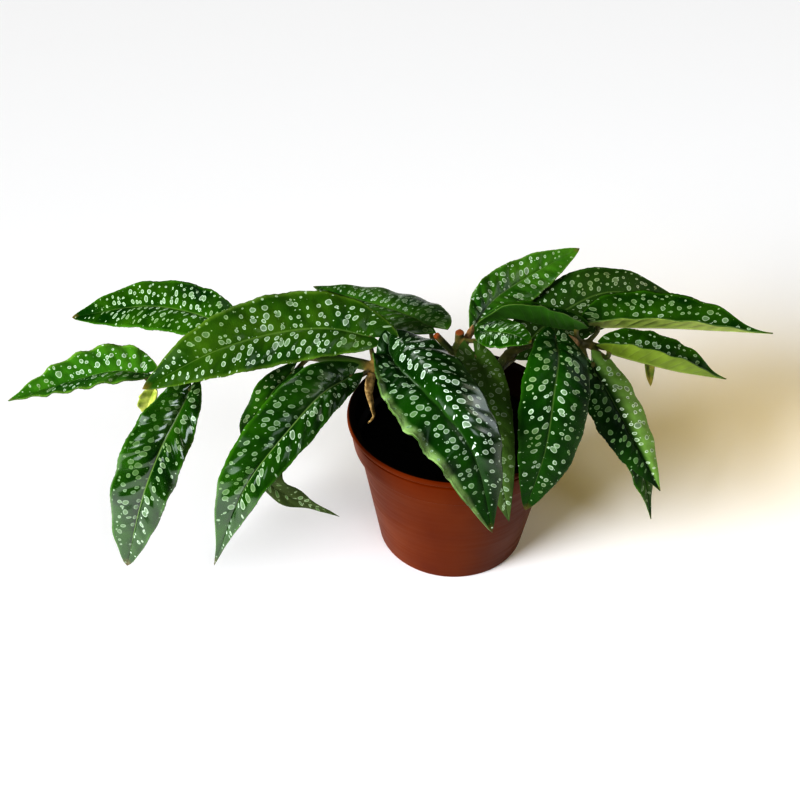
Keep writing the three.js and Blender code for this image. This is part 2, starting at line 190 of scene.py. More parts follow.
@dataclass(frozen=True)
class SpottedBlade(BladeSide):
    """Upper side of a spotted begonia leaf: waxy cuticle over dark green tissue.

    The silver spots are pockets of air under the skin, which light up as a pale ring
    with a greener middle. They sit in rows between the side veins, longest along them.
    Pairs are for the left and the right half, and shares run from sinus to tip.
    """

    dark: str = "#0c3302"
    mid: str = "#345c08"
    edge: str = "#4a7d18"
    rib: str = "#8aa65c"
    tip: str = "#6a5828"
    rib_strength: float = 0.22
    pale_margin: Pair = (0.5, 0.5)
    pale_from: float = 0.86
    pale_to: float = 1.0
    pale_start: float = -1.0
    shaded_half_dulling: Pair = (0.0, 0.0)
    spot_ring: str = "#abbda4"
    spot_dull: str = "#80966a"
    spot_heart: str = "#466832"
    roughness: float = 0.34
    coat: float = 0.06
    coat_ior: float = 1.5
    coat_roughness: float = 0.14
    wax_to: float = 1.3
    tip_coat: float = 0.06
    coat_sides: Pair = (1.0, 1.0)
    spot_across: float = 5.3
    spot_along: float = 4.4
    spot_radii: Pair = (0.17, 0.365)
    speck_pitch: float = 2.9
    speck_radii: Pair = (-0.26, 0.17)
    ring_width: float = 0.09
    soft_edge: Pair = (-0.018, 0.022)
    tip_spots: float = 0.3
    tip_fade_from: float = 0.965
    tip_fade_to: float = 1.0

    def spots(
        self, tree: Tree, place: Node, pitch: Pair, radii: Pair, shrink: Node, shift: float
    ) -> tuple[Node, Node]:
        """Lay one size of spots over the blade.

        Args:
            tree: Node tree that takes the nodes.
            place: Position on the blade in units of 100 mm, across and along the veins.
            pitch: Mean distance between spots in millimetres, across and along.
            radii: Smallest and largest radius, as shares of the pitch. A negative one
                leaves some places bare.
            shrink: Factor on the radius, smaller at the edge and the tip.
            shift: Moves the pattern, so that two sizes don't lie on each other.

        Returns:
            The whole spot's mask and the mask of its greener heart.
        """
        grid = (100 / pitch[0], 100 / pitch[1], 1)
        moved = (shift, shift, 0)
        scaled = add_node(tree, "VectorMath", {0: place, 1: grid, 2: moved}, operation="MULTIPLY_ADD")
        spread = {"Vector": scaled, "Scale": 1.0, "Randomness": 0.8}
        cells = add_node(tree, "TexVoronoi", spread, voronoi_dimensions="2D")
        chance = add_node(tree, "SeparateColor", {0: cells.outputs["Color"]})
        radius = add_node(tree, "MapRange", {0: chance, 1: 0.06, 2: 1.0, 3: radii[0], 4: radii[1]})
        radius = add_node(tree, "Math", {0: radius, 1: shrink}, operation="MULTIPLY")
        masks = []
        low, high = self.soft_edge
        for inset in (0.0, self.ring_width):
            rim = add_node(tree, "Math", {0: radius, 1: inset}, operation="SUBTRACT")
            depth = add_node(tree, "Math", {0: rim, 1: cells.outputs["Distance"]}, operation="SUBTRACT")
            masks.append(add_node(tree, "MapRange", {0: depth, 1: low, 2: high}, **SMOOTH))
        return masks[0], masks[1]

    def dress(self, tree: Tree, shader: Node) -> None:
        """Green tissue, paler midrib and margin, silver spots, veined waxy skin.

        Args:
            tree: The material's node tree.
            shader: Its Principled shader.
        """
        vein, across, along, out = self.maps(tree)
        is_right = add_node(tree, "Math", {0: across, 1: 0.5}, operation="GREATER_THAN")

        # Spots are a little out of round, so the cells are pushed about by soft noise of 4 mm
        wander = add_node(tree, "TexNoise", {"Vector": vein, "Scale": 26.0, "Detail": 0.0})
        around_zero = {0: wander.outputs["Color"], 1: (0.5, 0.5, 0.5)}
        wander = add_node(tree, "VectorMath", around_zero, operation="SUBTRACT")
        pushed = {0: wander, 1: (0.016, 0.013, 0.0), 2: vein}
        wander = add_node(tree, "VectorMath", pushed, operation="MULTIPLY_ADD")

        # They are small at the margin, along the midrib and towards the tip
        tip_thinning = {1: self.tip_fade_from - 0.2, 2: self.tip_fade_to - 0.02, 3: 1.0, 4: self.tip_spots}
        shrink = add_node(tree, "MapRange", {0: out, 1: 0.62, 2: 1.0, 3: 1.0, 4: 0.3}, **SMOOTH)
        at_rib = add_node(tree, "MapRange", {0: out, 1: 0.02, 2: 0.12, 3: 0.2, 4: 1.0}, **SMOOTH)
        at_tip = add_node(tree, "MapRange", {0: along, **tip_thinning})
        for factor in (at_rib, at_tip):
            shrink = add_node(tree, "Math", {0: shrink, 1: factor}, operation="MULTIPLY")
        sizes = (self.spot_across, self.spot_along), (self.speck_pitch, self.speck_pitch)
        big, heart = self.spots(tree, wander, sizes[0], self.spot_radii, shrink, shift=0.0)
        small, _ = self.spots(tree, wander, sizes[1], self.speck_radii, shrink, shift=7.3)
        spotted = add_node(tree, "Math", {0: big, 1: small}, operation="MAXIMUM")

        # Tissue: green in clouds of 20 mm, lighter towards the margin and along the midrib; the midrib's
        # paleness is partly its own colour and partly a painted highlight in its groove, and on two
        # blades the pale margin is painted light on a lit half and a lit frill
        cloud = add_node(tree, "TexNoise", {"Vector": vein, "Scale": 4.6, "Detail": 3.0})
        green = add_node(tree, "ValToRGB", {0: cloud}, stops=((0.35, self.dark), (0.7, self.mid)))
        left, right = self.pale_margin
        most = add_node(tree, "MapRange", {0: is_right, 3: left, 4: right})
        start = self.pale_start
        most = add_node(tree, "MapRange", {0: along, 1: start, 2: start + 0.16, 3: 0.0, 4: most})
        reach = {0: out, 1: self.pale_from, 2: self.pale_to, 3: 0.0, 4: most}
        paler = add_node(tree, "MapRange", reach, **SMOOTH)
        rib_reach = {0: out, 1: 0.012, 2: 0.05, 3: self.rib_strength, 4: 0.0}
        rib = add_node(tree, "MapRange", rib_reach, **SMOOTH)
        # The tip fades to another colour: a dry tip on most blades, painted shade on the shaded one
        tip_reach = {0: along, 1: self.tip_fade_from, 2: self.tip_fade_to, 3: 0.0, 4: 0.9}
        tip_faded = add_node(tree, "MapRange", tip_reach)
        for amount, shade in ((paler, self.edge), (rib, self.rib), (tip_faded, self.tip)):
            green = add_node(tree, "Mix", {0: amount, 6: green, 7: shade}, **COLOURS)

        # Silver differs in clouds of 30 mm, and on some blades is dulled on one half as painted shade
        fresh = add_node(tree, "TexNoise", {"Vector": vein, "Scale": 3.2, "Detail": 1.0})
        fresh = add_node(tree, "MapRange", {0: fresh, 1: 0.38, 2: 0.6})
        ring = add_node(tree, "Mix", {0: fresh, 6: self.spot_dull, 7: self.spot_ring}, **COLOURS)
        left, right = self.shaded_half_dulling
        shade_dulling = add_node(tree, "MapRange", {0: is_right, 3: left, 4: right})
        ring = add_node(tree, "Mix", {0: shade_dulling, 6: ring, 7: self.spot_heart}, **COLOURS)
        middle = add_node(tree, "Mix", {0: 0.7, 6: ring, 7: self.spot_heart}, **COLOURS)
        silver = add_node(tree, "Mix", {0: heart, 6: ring, 7: middle}, **COLOURS)
        colour = add_node(tree, "Mix", {0: spotted, 6: green, 7: silver}, **COLOURS)

        # Skin: fine cell grain of about 0.6 mm, and folds of about 5 mm
        grain = add_node(tree, "TexNoise", {"Vector": vein, "Scale": 170.0, "Detail": 2.0})
        folds = add_node(tree, "TexNoise", {"Vector": vein, "Scale": 22.0, "Detail": 1.5})
        relief = add_node(tree, "Math", {0: folds, 1: 2.2, 2: grain}, operation="MULTIPLY_ADD")
        bump = add_node(tree, "Bump", {"Strength": 0.35, "Distance": 0.9 * MM, "Height": relief})

        # Wax may have worn off the tip, or off a crinkled half
        wax: float | Node = self.coat
        if self.wax_to <= 1:
            worn = {1: self.wax_to - 0.14, 2: self.wax_to, 3: self.coat, 4: self.tip_coat}
            wax = add_node(tree, "MapRange", {0: along, **worn})
            left, right = self.coat_sides
            half = add_node(tree, "MapRange", {0: is_right, 3: left, 4: right})
            wax = add_node(tree, "Math", {0: wax, 1: half}, operation="MULTIPLY")
        gloss = {"Coat Weight": wax, "Coat IOR": self.coat_ior, "Coat Roughness": self.coat_roughness}
        skin = {"Roughness": self.roughness, "Specular IOR Level": 0.12, "IOR": 1.45}
        feed(shader, {"Base Color": colour, "Normal": bump, **skin, **gloss})


@dataclass(frozen=True)
class BladeUnderside(BladeSide):
    """Under side of the leaf: matt, pale olive, with raised veins and faint clouds."""

    field: str = "#627420"
    vein: str = "#869648"

    def dress(self, tree: Tree, shader: Node) -> None:
        """Pale tissue with lighter veins that run from the midrib to the margin.

        Args:
            tree: The material's node tree.
            shader: Its Principled shader.
        """
        vein, _, along, out = self.maps(tree)
        rows = add_node(tree, "Math", {0: along, 1: VEIN_SWEEP}, operation="POWER")
        rows = add_node(tree, "Math", {0: rows, 1: along}, operation="ADD")
        waves = add_node(tree, "Math", {0: rows, 1: VEIN_COUNT * math.pi / 2}, operation="MULTIPLY")
        for operation in ("SINE", "ABSOLUTE"):
            waves = add_node(tree, "Math", {0: waves}, operation=operation)
        lateral = add_node(tree, "MapRange", {0: waves, 1: 0.0, 2: 0.16, 3: 0.28, 4: 0.0})
        rib = add_node(tree, "MapRange", {0: out, 1: 0.02, 2: 0.07, 3: 1.0, 4: 0.0})
        lines = add_node(tree, "Math", {0: lateral, 1: rib}, operation="MAXIMUM")
        # Clouds of about 6 mm
        cloud = add_node(tree, "TexNoise", {"Vector": vein, "Scale": 16.0, "Detail": 3.0})
        shade = add_node(tree, "MapRange", {0: cloud, 1: 0.3, 2: 0.7, 3: 0.75, 4: 1.15})
        base = add_node(tree, "Mix", {0: lines, 6: self.field, 7: self.vein}, **COLOURS)
        colour = add_node(tree, "VectorMath", {0: base, "Scale": shade}, operation="SCALE")
        bump = add_node(tree, "Bump", {"Strength": 0.6, "Distance": 0.6 * MM, "Height": lines})
        feed(shader, {"Base Color": colour, "Normal": bump, "Roughness": 0.52})


@dataclass(frozen=True)
class GrownSkin(Finish):
    """Satin plant skin with cloudy colour: canes, margins, buds, scales, dried stalk.

    Each patch is a centre, how far it reaches and its colour; on the canes some are painted shade and one
    is painted lighter as lit.
    """

    low: str = "#4f4a22"
    high: str = "#8a7a3e"
    fleck: str = "#b9a878"
    cloud_mm: float = 6.0
    fleck_mm: float = 1.6
    fleck_share: float = 0.3
    roughness: float = 0.5
    depth_mm: float = 0.2
    tint_and_shading_patches: tuple[tuple[Triple, float, str], ...] = ()

    def dress(self, tree: Tree, shader: Node) -> None:
        """Two cloudy colours with small raised pale flecks.

        Args:
            tree: The material's node tree.
            shader: Its Principled shader.
        """
        place = add_node(tree, "TexCoord").outputs["Object"]
        size = 1000 / self.cloud_mm
        cloud = add_node(tree, "TexNoise", {"Vector": place, "Scale": size, "Detail": 4.0})
        base = add_node(tree, "ValToRGB", {0: cloud}, stops=((0.38, self.low), (0.64, self.high)))
        cells = add_node(tree, "TexVoronoi", {"Vector": place, "Scale": 1000 / self.fleck_mm})
        mark = add_node(tree, "MapRange", {0: cells, 1: 0.1, 2: 0.24, 3: self.fleck_share, 4: 0.0})
        colour = add_node(tree, "Mix", {0: mark, 6: base, 7: self.fleck}, **COLOURS)
        for centre, reach, shade in self.tint_and_shading_patches:
            away = add_node(tree, "VectorMath", {0: place, 1: Vector(centre) * MM}, operation="DISTANCE")
            fade = {1: reach * 0.6 * MM, 2: reach * MM, 3: 0.9, 4: 0.0}
            amount = add_node(tree, "MapRange", {0: away, **fade}, **SMOOTH)
            colour = add_node(tree, "Mix", {0: amount, 6: colour, 7: shade}, **COLOURS)
        height = add_node(tree, "Math", {0: mark, 1: 1.0, 2: cloud}, operation="MULTIPLY_ADD")
        depth = self.depth_mm * MM
        bump = add_node(tree, "Bump", {"Strength": 0.6, "Distance": depth, "Height": height})
        feed(shader, {"Base Color": colour, "Normal": bump, "Roughness": self.roughness})


@dataclass(frozen=True)
class MouldedPlastic(Finish):
    """Moulded polypropylene pot: even brown terracotta colour, satin, lightly scuffed."""

    low: str = "#552002"
    high: str = "#612a04"
    scuff: str = "#83461f"
    roughness: float = 0.4

    def dress(self, tree: Tree, shader: Node) -> None:
        """Slightly uneven colour, soft scuffs, and a skin that is not quite flat.

        Args:
            tree: The material's node tree.
            shader: Its Principled shader.
        """
        place = add_node(tree, "TexCoord").outputs["Object"]
        # Clouds of about 35 mm
        cloud = add_node(tree, "TexNoise", {"Vector": place, "Scale": 28.0, "Detail": 5.0})
        base = add_node(tree, "ValToRGB", {0: cloud}, stops=((0.35, self.low), (0.65, self.high)))
        # Scuffs run round the pot, about 45 mm long and 2.5 mm high
        streak = add_node(tree, "Mapping", {"Vector": place, "Scale": (22.0, 22.0, 420.0)})
        rub = add_node(tree, "TexNoise", {"Vector": streak, "Scale": 1.0, "Detail": 4.0})
        worn = add_node(tree, "MapRange", {0: rub, 1: 0.62, 2: 0.8, 3: 0.0, 4: 0.08})
        colour = add_node(tree, "Mix", {0: worn, 6: base, 7: self.scuff}, **COLOURS)
        dulled = {3: self.roughness - 0.05, 4: self.roughness + 0.14}
        rough = add_node(tree, "MapRange", {0: rub, 1: 0.3, 2: 0.8, **dulled})
        bump = add_node(tree, "Bump", {"Strength": 0.02, "Distance": 0.4 * MM, "Height": rub})
        skin = {"Roughness": rough, "Specular IOR Level": 0.09}
        feed(shader, {"Base Color": colour, "Normal": bump, **skin})


@dataclass(frozen=True)
class DampPeat(Finish):
    """Damp black peat mix: very dark, crumbly, matt with a faint wet glint."""

    low: str = "#050403"
    high: str = "#120d09"

    def dress(self, tree: Tree, shader: Node) -> None:
        """Dark crumbs of about 2 mm with browner ones between them.

        Args:
            tree: The material's node tree.
            shader: Its Principled shader.
        """
        place = add_node(tree, "TexCoord").outputs["Object"]
        crumbs = add_node(tree, "TexNoise", {"Vector": place, "Scale": 480.0, "Detail": 5.0})
        colour = add_node(tree, "ValToRGB", {0: crumbs}, stops=((0.4, self.low), (0.75, self.high)))
        bump = add_node(tree, "Bump", {"Strength": 0.9, "Distance": 1.2 * MM, "Height": crumbs})
        skin = {"Roughness": 0.85, "Specular IOR Level": 0.1}
        feed(shader, {"Base Color": colour, "Normal": bump, **skin})


@dataclass(frozen=True)
class PaperSweep(Finish):
    """White paper that the pot stands on: matt, no pattern at this distance."""

    shade: str = "#f7f6f4"

    def dress(self, tree: Tree, shader: Node) -> None:
        """Plain matt white."""
        feed(shader, {"Base Color": self.shade, "Roughness": 0.9, "Specular IOR Level": 0.1})


class Bloom(Enum):
    """The green and the gloss of a blade; several members are lit or shaded copies of one green, with
    painted light or painted shade for where the leaf sits.
    """

    SATIN = SpottedBlade("begonia blade, full grown")
    # Painted shade: a darker copy of the green, with little pale margin, for a leaf in shade
    DEEP = SpottedBlade(
        "begonia blade, deep green", dark="#0a2e02", mid="#1f4c05", pale_margin=(0.15, 0.15),
    )
    OLIVE = SpottedBlade(
        "begonia blade, olive in a raking light", dark="#1e4308", mid="#406010", edge="#6c8a30", coat=0.3,
    )
    SUNNY = SpottedBlade(
        "begonia blade, back leaf lit through", dark="#1f4c0c", mid="#48721c", edge="#6c9238", coat=0.3,
    )
    # Painted light and shade: one half is painted pale, with brighter spots, as lit, and the other half's
    # spots are dulled as shade
    HALF_LIT = SpottedBlade(
        "begonia blade, folded with one half in full light", dark="#062202", mid="#1e4606",
        edge="#8fb65c", spot_ring="#dfecd4", spot_dull="#bccfae", spot_heart="#4c7034",
        pale_margin=(0.75, 0.0), pale_from=0.02, pale_to=0.42, shaded_half_dulling=(0.0, 0.85),
    )
    # Its strong pale midrib is partly the vein's own colour and partly a painted highlight along the
    # groove, and one half's spots are dulled as painted shade
    RIBBED = SpottedBlade(
        "begonia blade, pale midrib", dark="#0a3002", mid="#2a5606", rib_strength=0.6,
        shaded_half_dulling=(0.0, 0.5), coat=0.18, coat_ior=2.1, wax_to=0.72, tip_coat=1.0,
    )
    SLEEK = replace(
        RIBBED, name="begonia blade, pale midrib and a wet-looking cuticle", coat=0.85, wax_to=0.7
    )
    GLOSSY = SpottedBlade("begonia blade, fresh glossy cuticle", coat=0.9, coat_ior=1.7)
    # The pale band along the frilled margin is painted light that the upturned frill catches, and one
    # half's spots are dulled as painted shade
    FRILLED = SpottedBlade(
        "begonia blade, glossy with a pale frilled margin", dark="#0a2e02", mid="#1c4806",
        edge="#84a062", rib="#4f7a34", spot_ring="#c8d8c6", spot_dull="#9cb092", shaded_half_dulling=(0.0, 0.55),
        pale_margin=(0.1, 0.9), pale_from=0.7, pale_to=0.92, pale_start=0.18, coat=0.85, coat_ior=1.75,
        coat_roughness=0.2, coat_sides=(1.0, 0.15), wax_to=0.9,
    )
    # Painted shade: a darker, duller copy of the green for the leaf at the back
    OLD = SpottedBlade(
        "begonia blade, old leaf at the back", dark="#20400d", mid="#334f15", edge="#44702a",
        spot_ring="#a0b096", spot_dull="#82936a", spot_heart="#46602e", roughness=0.45, coat=0.0,
    )
    # Painted shade: a dull copy of the green for the leaf deep in the plant, with its tip, which the
    # light reaches, faded darker and greyer
    SHADED = SpottedBlade(
        "begonia blade, old leaf in the middle of the plant", dark="#3c5e1c", mid="#506a2a",
        edge="#526a32", rib="#5c7a3c", tip="#41522c", spot_ring="#8fa086", spot_dull="#74855a",
        spot_heart="#4a6430", spot_across=4.7, spot_along=3.9, tip_spots=0.85, tip_fade_from=0.55,
        tip_fade_to=0.95, roughness=0.45, coat=0.0,
    )
    WITHERING = SpottedBlade(
        "begonia blade, low leaf with a dull dry tip", tip="#414c2a", tip_spots=0.85,
        tip_fade_from=0.42, tip_fade_to=0.6, spot_ring="#8b9878", spot_dull="#70805a",
        roughness=0.45, coat=0.05,
    )
    BRIGHT = SpottedBlade(
        "begonia blade, outer leaf in full light", dark="#1c4c0a", mid="#487a1c", edge="#7fa440",
        roughness=0.42, coat=0.0,
    )


UNDERSIDE = BladeUnderside("begonia blade, pale under side")
# Painted light and shade: a paler copy of the under side for the leaf that shows it in light, and a
# darker one for the leaf that shows it in the plant's shade
LIT_UNDERSIDE = BladeUnderside("begonia blade, silvery under side", field="#88964a", vein="#a4ae70")
SHADED_UNDERSIDE = BladeUnderside(
    "begonia blade, under side in the middle of the plant", field="#2c5212", vein="#3c6220"
)
DRY_UNDERSIDE = GrownSkin(
    "begonia blade, under side going dry", low="#3c4a26", high="#6f7c4e", fleck="#a9b48c",
    cloud_mm=7.0, fleck_mm=2.6, depth_mm=0.3,
)
MARGIN = GrownSkin(
    "begonia blade, thin pale margin", low="#37541c", high="#50682c", fleck="#98a464",
    fleck_share=0.1, roughness=0.45, depth_mm=0.05,
)
# Cut stubs are orange brown and old joints keep a tan papery collar, the first left one also painted
# lighter as lit; dark patches are painted shade on stretches deep among the leaves
CANE = GrownSkin(
    "begonia cane, green going woody",
    low="#3c471c",
    high="#6c6132",
    tint_and_shading_patches=(
        ((-12.5, 6, 133), 3.0, "#8e4a1c"),
        ((0, 5, 136.5), 3.0, "#8e4a1c"),
        # Tan collar, painted lighter as light on this knob
        ((-44, -5, 117), 7.0, "#9c8248"),
        ((-62, -2, 118), 16.0, "#3c581a"),
        # Painted shade deep among the leaves, here and in the next patch
        ((-7, 7, 125), 7.5, "#2e3c14"),
        ((0, 7, 124), 6.0, "#3a4018"),
        ((2, 6, 131), 3.6, "#86703c"),
        ((27, 6, 123), 5.0, "#4c4c20"),
        ((45, 6, 132), 5.0, "#4a4a20"),
        # Painted shade low between the middle leaves
        ((20, 4, 108), 14.0, "#2c3412"),
        ((64, 5, 132), 5.5, "#4e4a22"),
        ((-82, 0, 120), 5.0, "#5c5e28"),
        ((-119, 2, 117), 5.0, "#5c5e28"),
    ),
)
BUD = GrownSkin(
    "begonia bud, green turning brown", low="#4f6419", high="#99883a", fleck="#b59a50",
    cloud_mm=9.0, fleck_mm=1.5, roughness=0.45, depth_mm=0.1,
)
YOUNG = GrownSkin(
    "young begonia leaf, still folded", low="#8a9a3c", high="#bcc268", fleck="#dfe0a8",
    cloud_mm=4.0, fleck_mm=1.2, roughness=0.4, depth_mm=0.08,
)
SCALE = GrownSkin(
    "begonia stipule, dry papery scale", low="#80603c", high="#b49468", fleck="#d2ba94",
    cloud_mm=3.0, roughness=0.7, depth_mm=0.1,
)
DRIED = GrownSkin(
    "dried begonia flower stalk", low="#7a6034", high="#c6a870", fleck="#5e4626",
    cloud_mm=2.5, fleck_mm=1.4, roughness=0.65, depth_mm=0.15,
)
POT_PLASTIC = MouldedPlastic("moulded polypropylene, brown terracotta")
# Painted shade: the pot's inner wall and the lip's inner half are nearly black, as the shade inside the
# pot
SHADE_DARK_PLASTIC = MouldedPlastic(
    "moulded polypropylene, stained by damp peat", low="#0c0402", high="#1a0a05", scuff="#140904"
)
PEAT = DampPeat("damp peat potting mix")
PAPER = PaperSweep("white paper sweep")


def link_object(name: str, data: bpy.types.ID) -> Piece:
    """Put a mesh, a light or a camera into the scene, at the origin.

    Args:
        name: Name of the object.
        data: Its mesh, light or camera.

    Returns:
        The new object.
    """
    piece = bpy.data.objects.new(name, data)
    bpy.context.collection.objects.link(piece)
    return piece


def add_modifier(piece: Piece, name: str, kind: str, **settings: object) -> None:
    """Add a modifier with its settings.

    Args:
        piece: The piece that takes it.
        name: What it does to the piece.
        kind: Blender's name of the modifier's type.
        settings: Properties of the modifier, by name.
    """
    modifier = piece.modifiers.new(name, kind)
    for key, value in settings.items():
        setattr(modifier, key, value)


def take_object(name: str, shape: BMesh, finishes: Sequence[Finish]) -> Piece:
    """Turn a finished bmesh into an object at the origin, with smooth faces.

    Args:
        name: Name of the object and its mesh.
        shape: The bmesh, in metres, which is freed.
        finishes: Finishes for the material slots, in order.

    Returns:
        The new object, linked to the scene.
    """
    mesh = bpy.data.meshes.new(name)
    for face in shape.faces:
        face.smooth = True
    shape.to_mesh(mesh)
    shape.free()
    for finish in finishes:
        mesh.materials.append(finish.make())
    return link_object(name, mesh)


def settle(piece: Piece, node: str) -> Piece:
    """Declare a piece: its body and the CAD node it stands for.

    Args:
        piece: The finished piece.
        node: Name of the CAD node that it replaces.

    Returns:
        The same piece.
    """
    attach(piece, BODY)
    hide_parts(node)
    LOG.info("%s: %d faces, stands for %s", piece.name, len(piece.data.polygons), node)
    return piece


def bake_modifiers(piece: Piece) -> None:
    """Apply a piece's modifiers, so that its helper objects can go.

    Args:
        piece: Object whose modifiers become part of its mesh.
    """
    graph = bpy.context.evaluated_depsgraph_get()
    solid = bpy.data.meshes.new_from_object(piece.evaluated_get(graph))
    old = piece.data
    piece.modifiers.clear()
    piece.data = solid
    solid.name = old.name
    bpy.data.meshes.remove(old)


def lathe(section: Sequence[Pair], steps: int) -> BMesh:
    """Spin a section round Z into a closed body.

    Args:
        section: Radius and height of each corner in millimetres, both ends on the axis.
        steps: Number of faces round the body.

    Returns:
        The body's bmesh, in metres.
    """
    mesh = bmesh.new()
    corners = [mesh.verts.new((r * MM, 0, z * MM)) for r, z in section]
    for a, b in zip(corners, corners[1:]):
        mesh.edges.new((a, b))
    bmesh.ops.spin(
        mesh, geom=mesh.verts[:] + mesh.edges[:], cent=(0, 0, 0), axis=(0, 0, 1), angle=2 * math.pi,
        steps=steps, use_merge=True,
    )
    bmesh.ops.remove_doubles(mesh, verts=mesh.verts, dist=1e-6)
    bmesh.ops.recalc_face_normals(mesh, faces=mesh.faces)
    return mesh


def drill(
    piece: Piece, holes: Sequence[Triple], middle: float, depth: float, sides: int, overlaps: bool
) -> None:
    """Bore upright holes through a piece.

    Args:
        piece: The piece that is bored.
        holes: Place of each hole, across and back, and its radius, in millimetres.
        middle: Height of the drill's middle in millimetres.
        depth: Length of the drill in millimetres.
        sides: Number of sides of a hole.
        overlaps: Whether the piece's own shells run into each other.
    """
    mesh = bmesh.new()
    for x, y, radius in holes:
        bmesh.ops.create_cone(
            mesh, cap_ends=True, segments=sides, radius1=radius * MM, radius2=radius * MM,
            depth=depth * MM, matrix=Matrix.Translation((x * MM, y * MM, middle * MM)),
        )
    cutter = take_object(piece.name + "_drill", mesh, ())
    how = {"operation": "DIFFERENCE", "solver": "EXACT", "use_self": overlaps}
    add_modifier(piece, "holes", "BOOLEAN", object=cutter, **how)
    bake_modifiers(piece)
    bpy.data.objects.remove(cutter)


class GrownLine:
    """Smooth line through given points, even in speed, as a stem or midrib grows."""

    STEPS = 200

    def __init__(self, points: Sequence[Triple]) -> None:
        """Measure the line once.

        Args:
            points: The points in millimetres, first to last.
        """
        self.knots = [Vector(p) for p in points]
        self.samples = [self.raw(i / self.STEPS) for i in range(self.STEPS + 1)]
        self.reach = [0.0]
        for a, b in zip(self.samples, self.samples[1:]):
            self.reach.append(self.reach[-1] + (b - a).length)

    @property
    def length(self) -> float:
        """Length of the line in millimetres."""
        return self.reach[-1]

    def raw(self, t: float) -> Vector:
        """Point at parameter t, by a centripetal spline through the knots.

        Args:
            t: From 0 at the first knot to 1 at the last.

        Returns:
            The point in millimetres.
        """
        spans = len(self.knots) - 1
        k = min(int(t * spans), spans - 1)
        w = t * spans - k
        p1, p2 = self.knots[k], self.knots[k + 1]
        p0 = self.knots[k - 1] if k > 0 else p1 * 2 - p2
        p3 = self.knots[k + 2] if k + 2 <= spans else p2 * 2 - p1
        d0, d1, d2 = (max((b - a).length ** 0.5, 1e-4) for a, b in ((p0, p1), (p1, p2), (p2, p3)))
        m1 = ((p1 - p0) / d0 - (p2 - p0) / (d0 + d1) + (p2 - p1) / d1) * d1
        m2 = ((p2 - p1) / d1 - (p3 - p1) / (d1 + d2) + (p3 - p2) / d2) * d1
        return (
            p1 * (2 * w**3 - 3 * w**2 + 1)
            + m1 * (w**3 - 2 * w**2 + w)
            + p2 * (-2 * w**3 + 3 * w**2)
            + m2 * (w**3 - w**2)
        )

    def at(self, share: float) -> Vector:
        """Point at a share of the length.

        Args:
            share: From 0 to 1.

        Returns:
            The point in millimetres.
        """
        goal = min(max(share, 0.0), 1.0) * self.length
        low, high = 0, len(self.reach) - 1
        while high - low > 1:
            middle = (low + high) // 2
            if self.reach[middle] <= goal:
                low = middle
            else:
                high = middle
        span = self.reach[high] - self.reach[low]
        w = (goal - self.reach[low]) / span if span > 0 else 0.0
        return self.raw((low + w) / (len(self.reach) - 1))

    def ahead(self, share: float) -> Vector:
        """Direction of growth at a share of the length, as a unit vector."""
        step = 0.002
        return (self.at(min(share + step, 1)) - self.at(max(share - step, 0))).normalized()


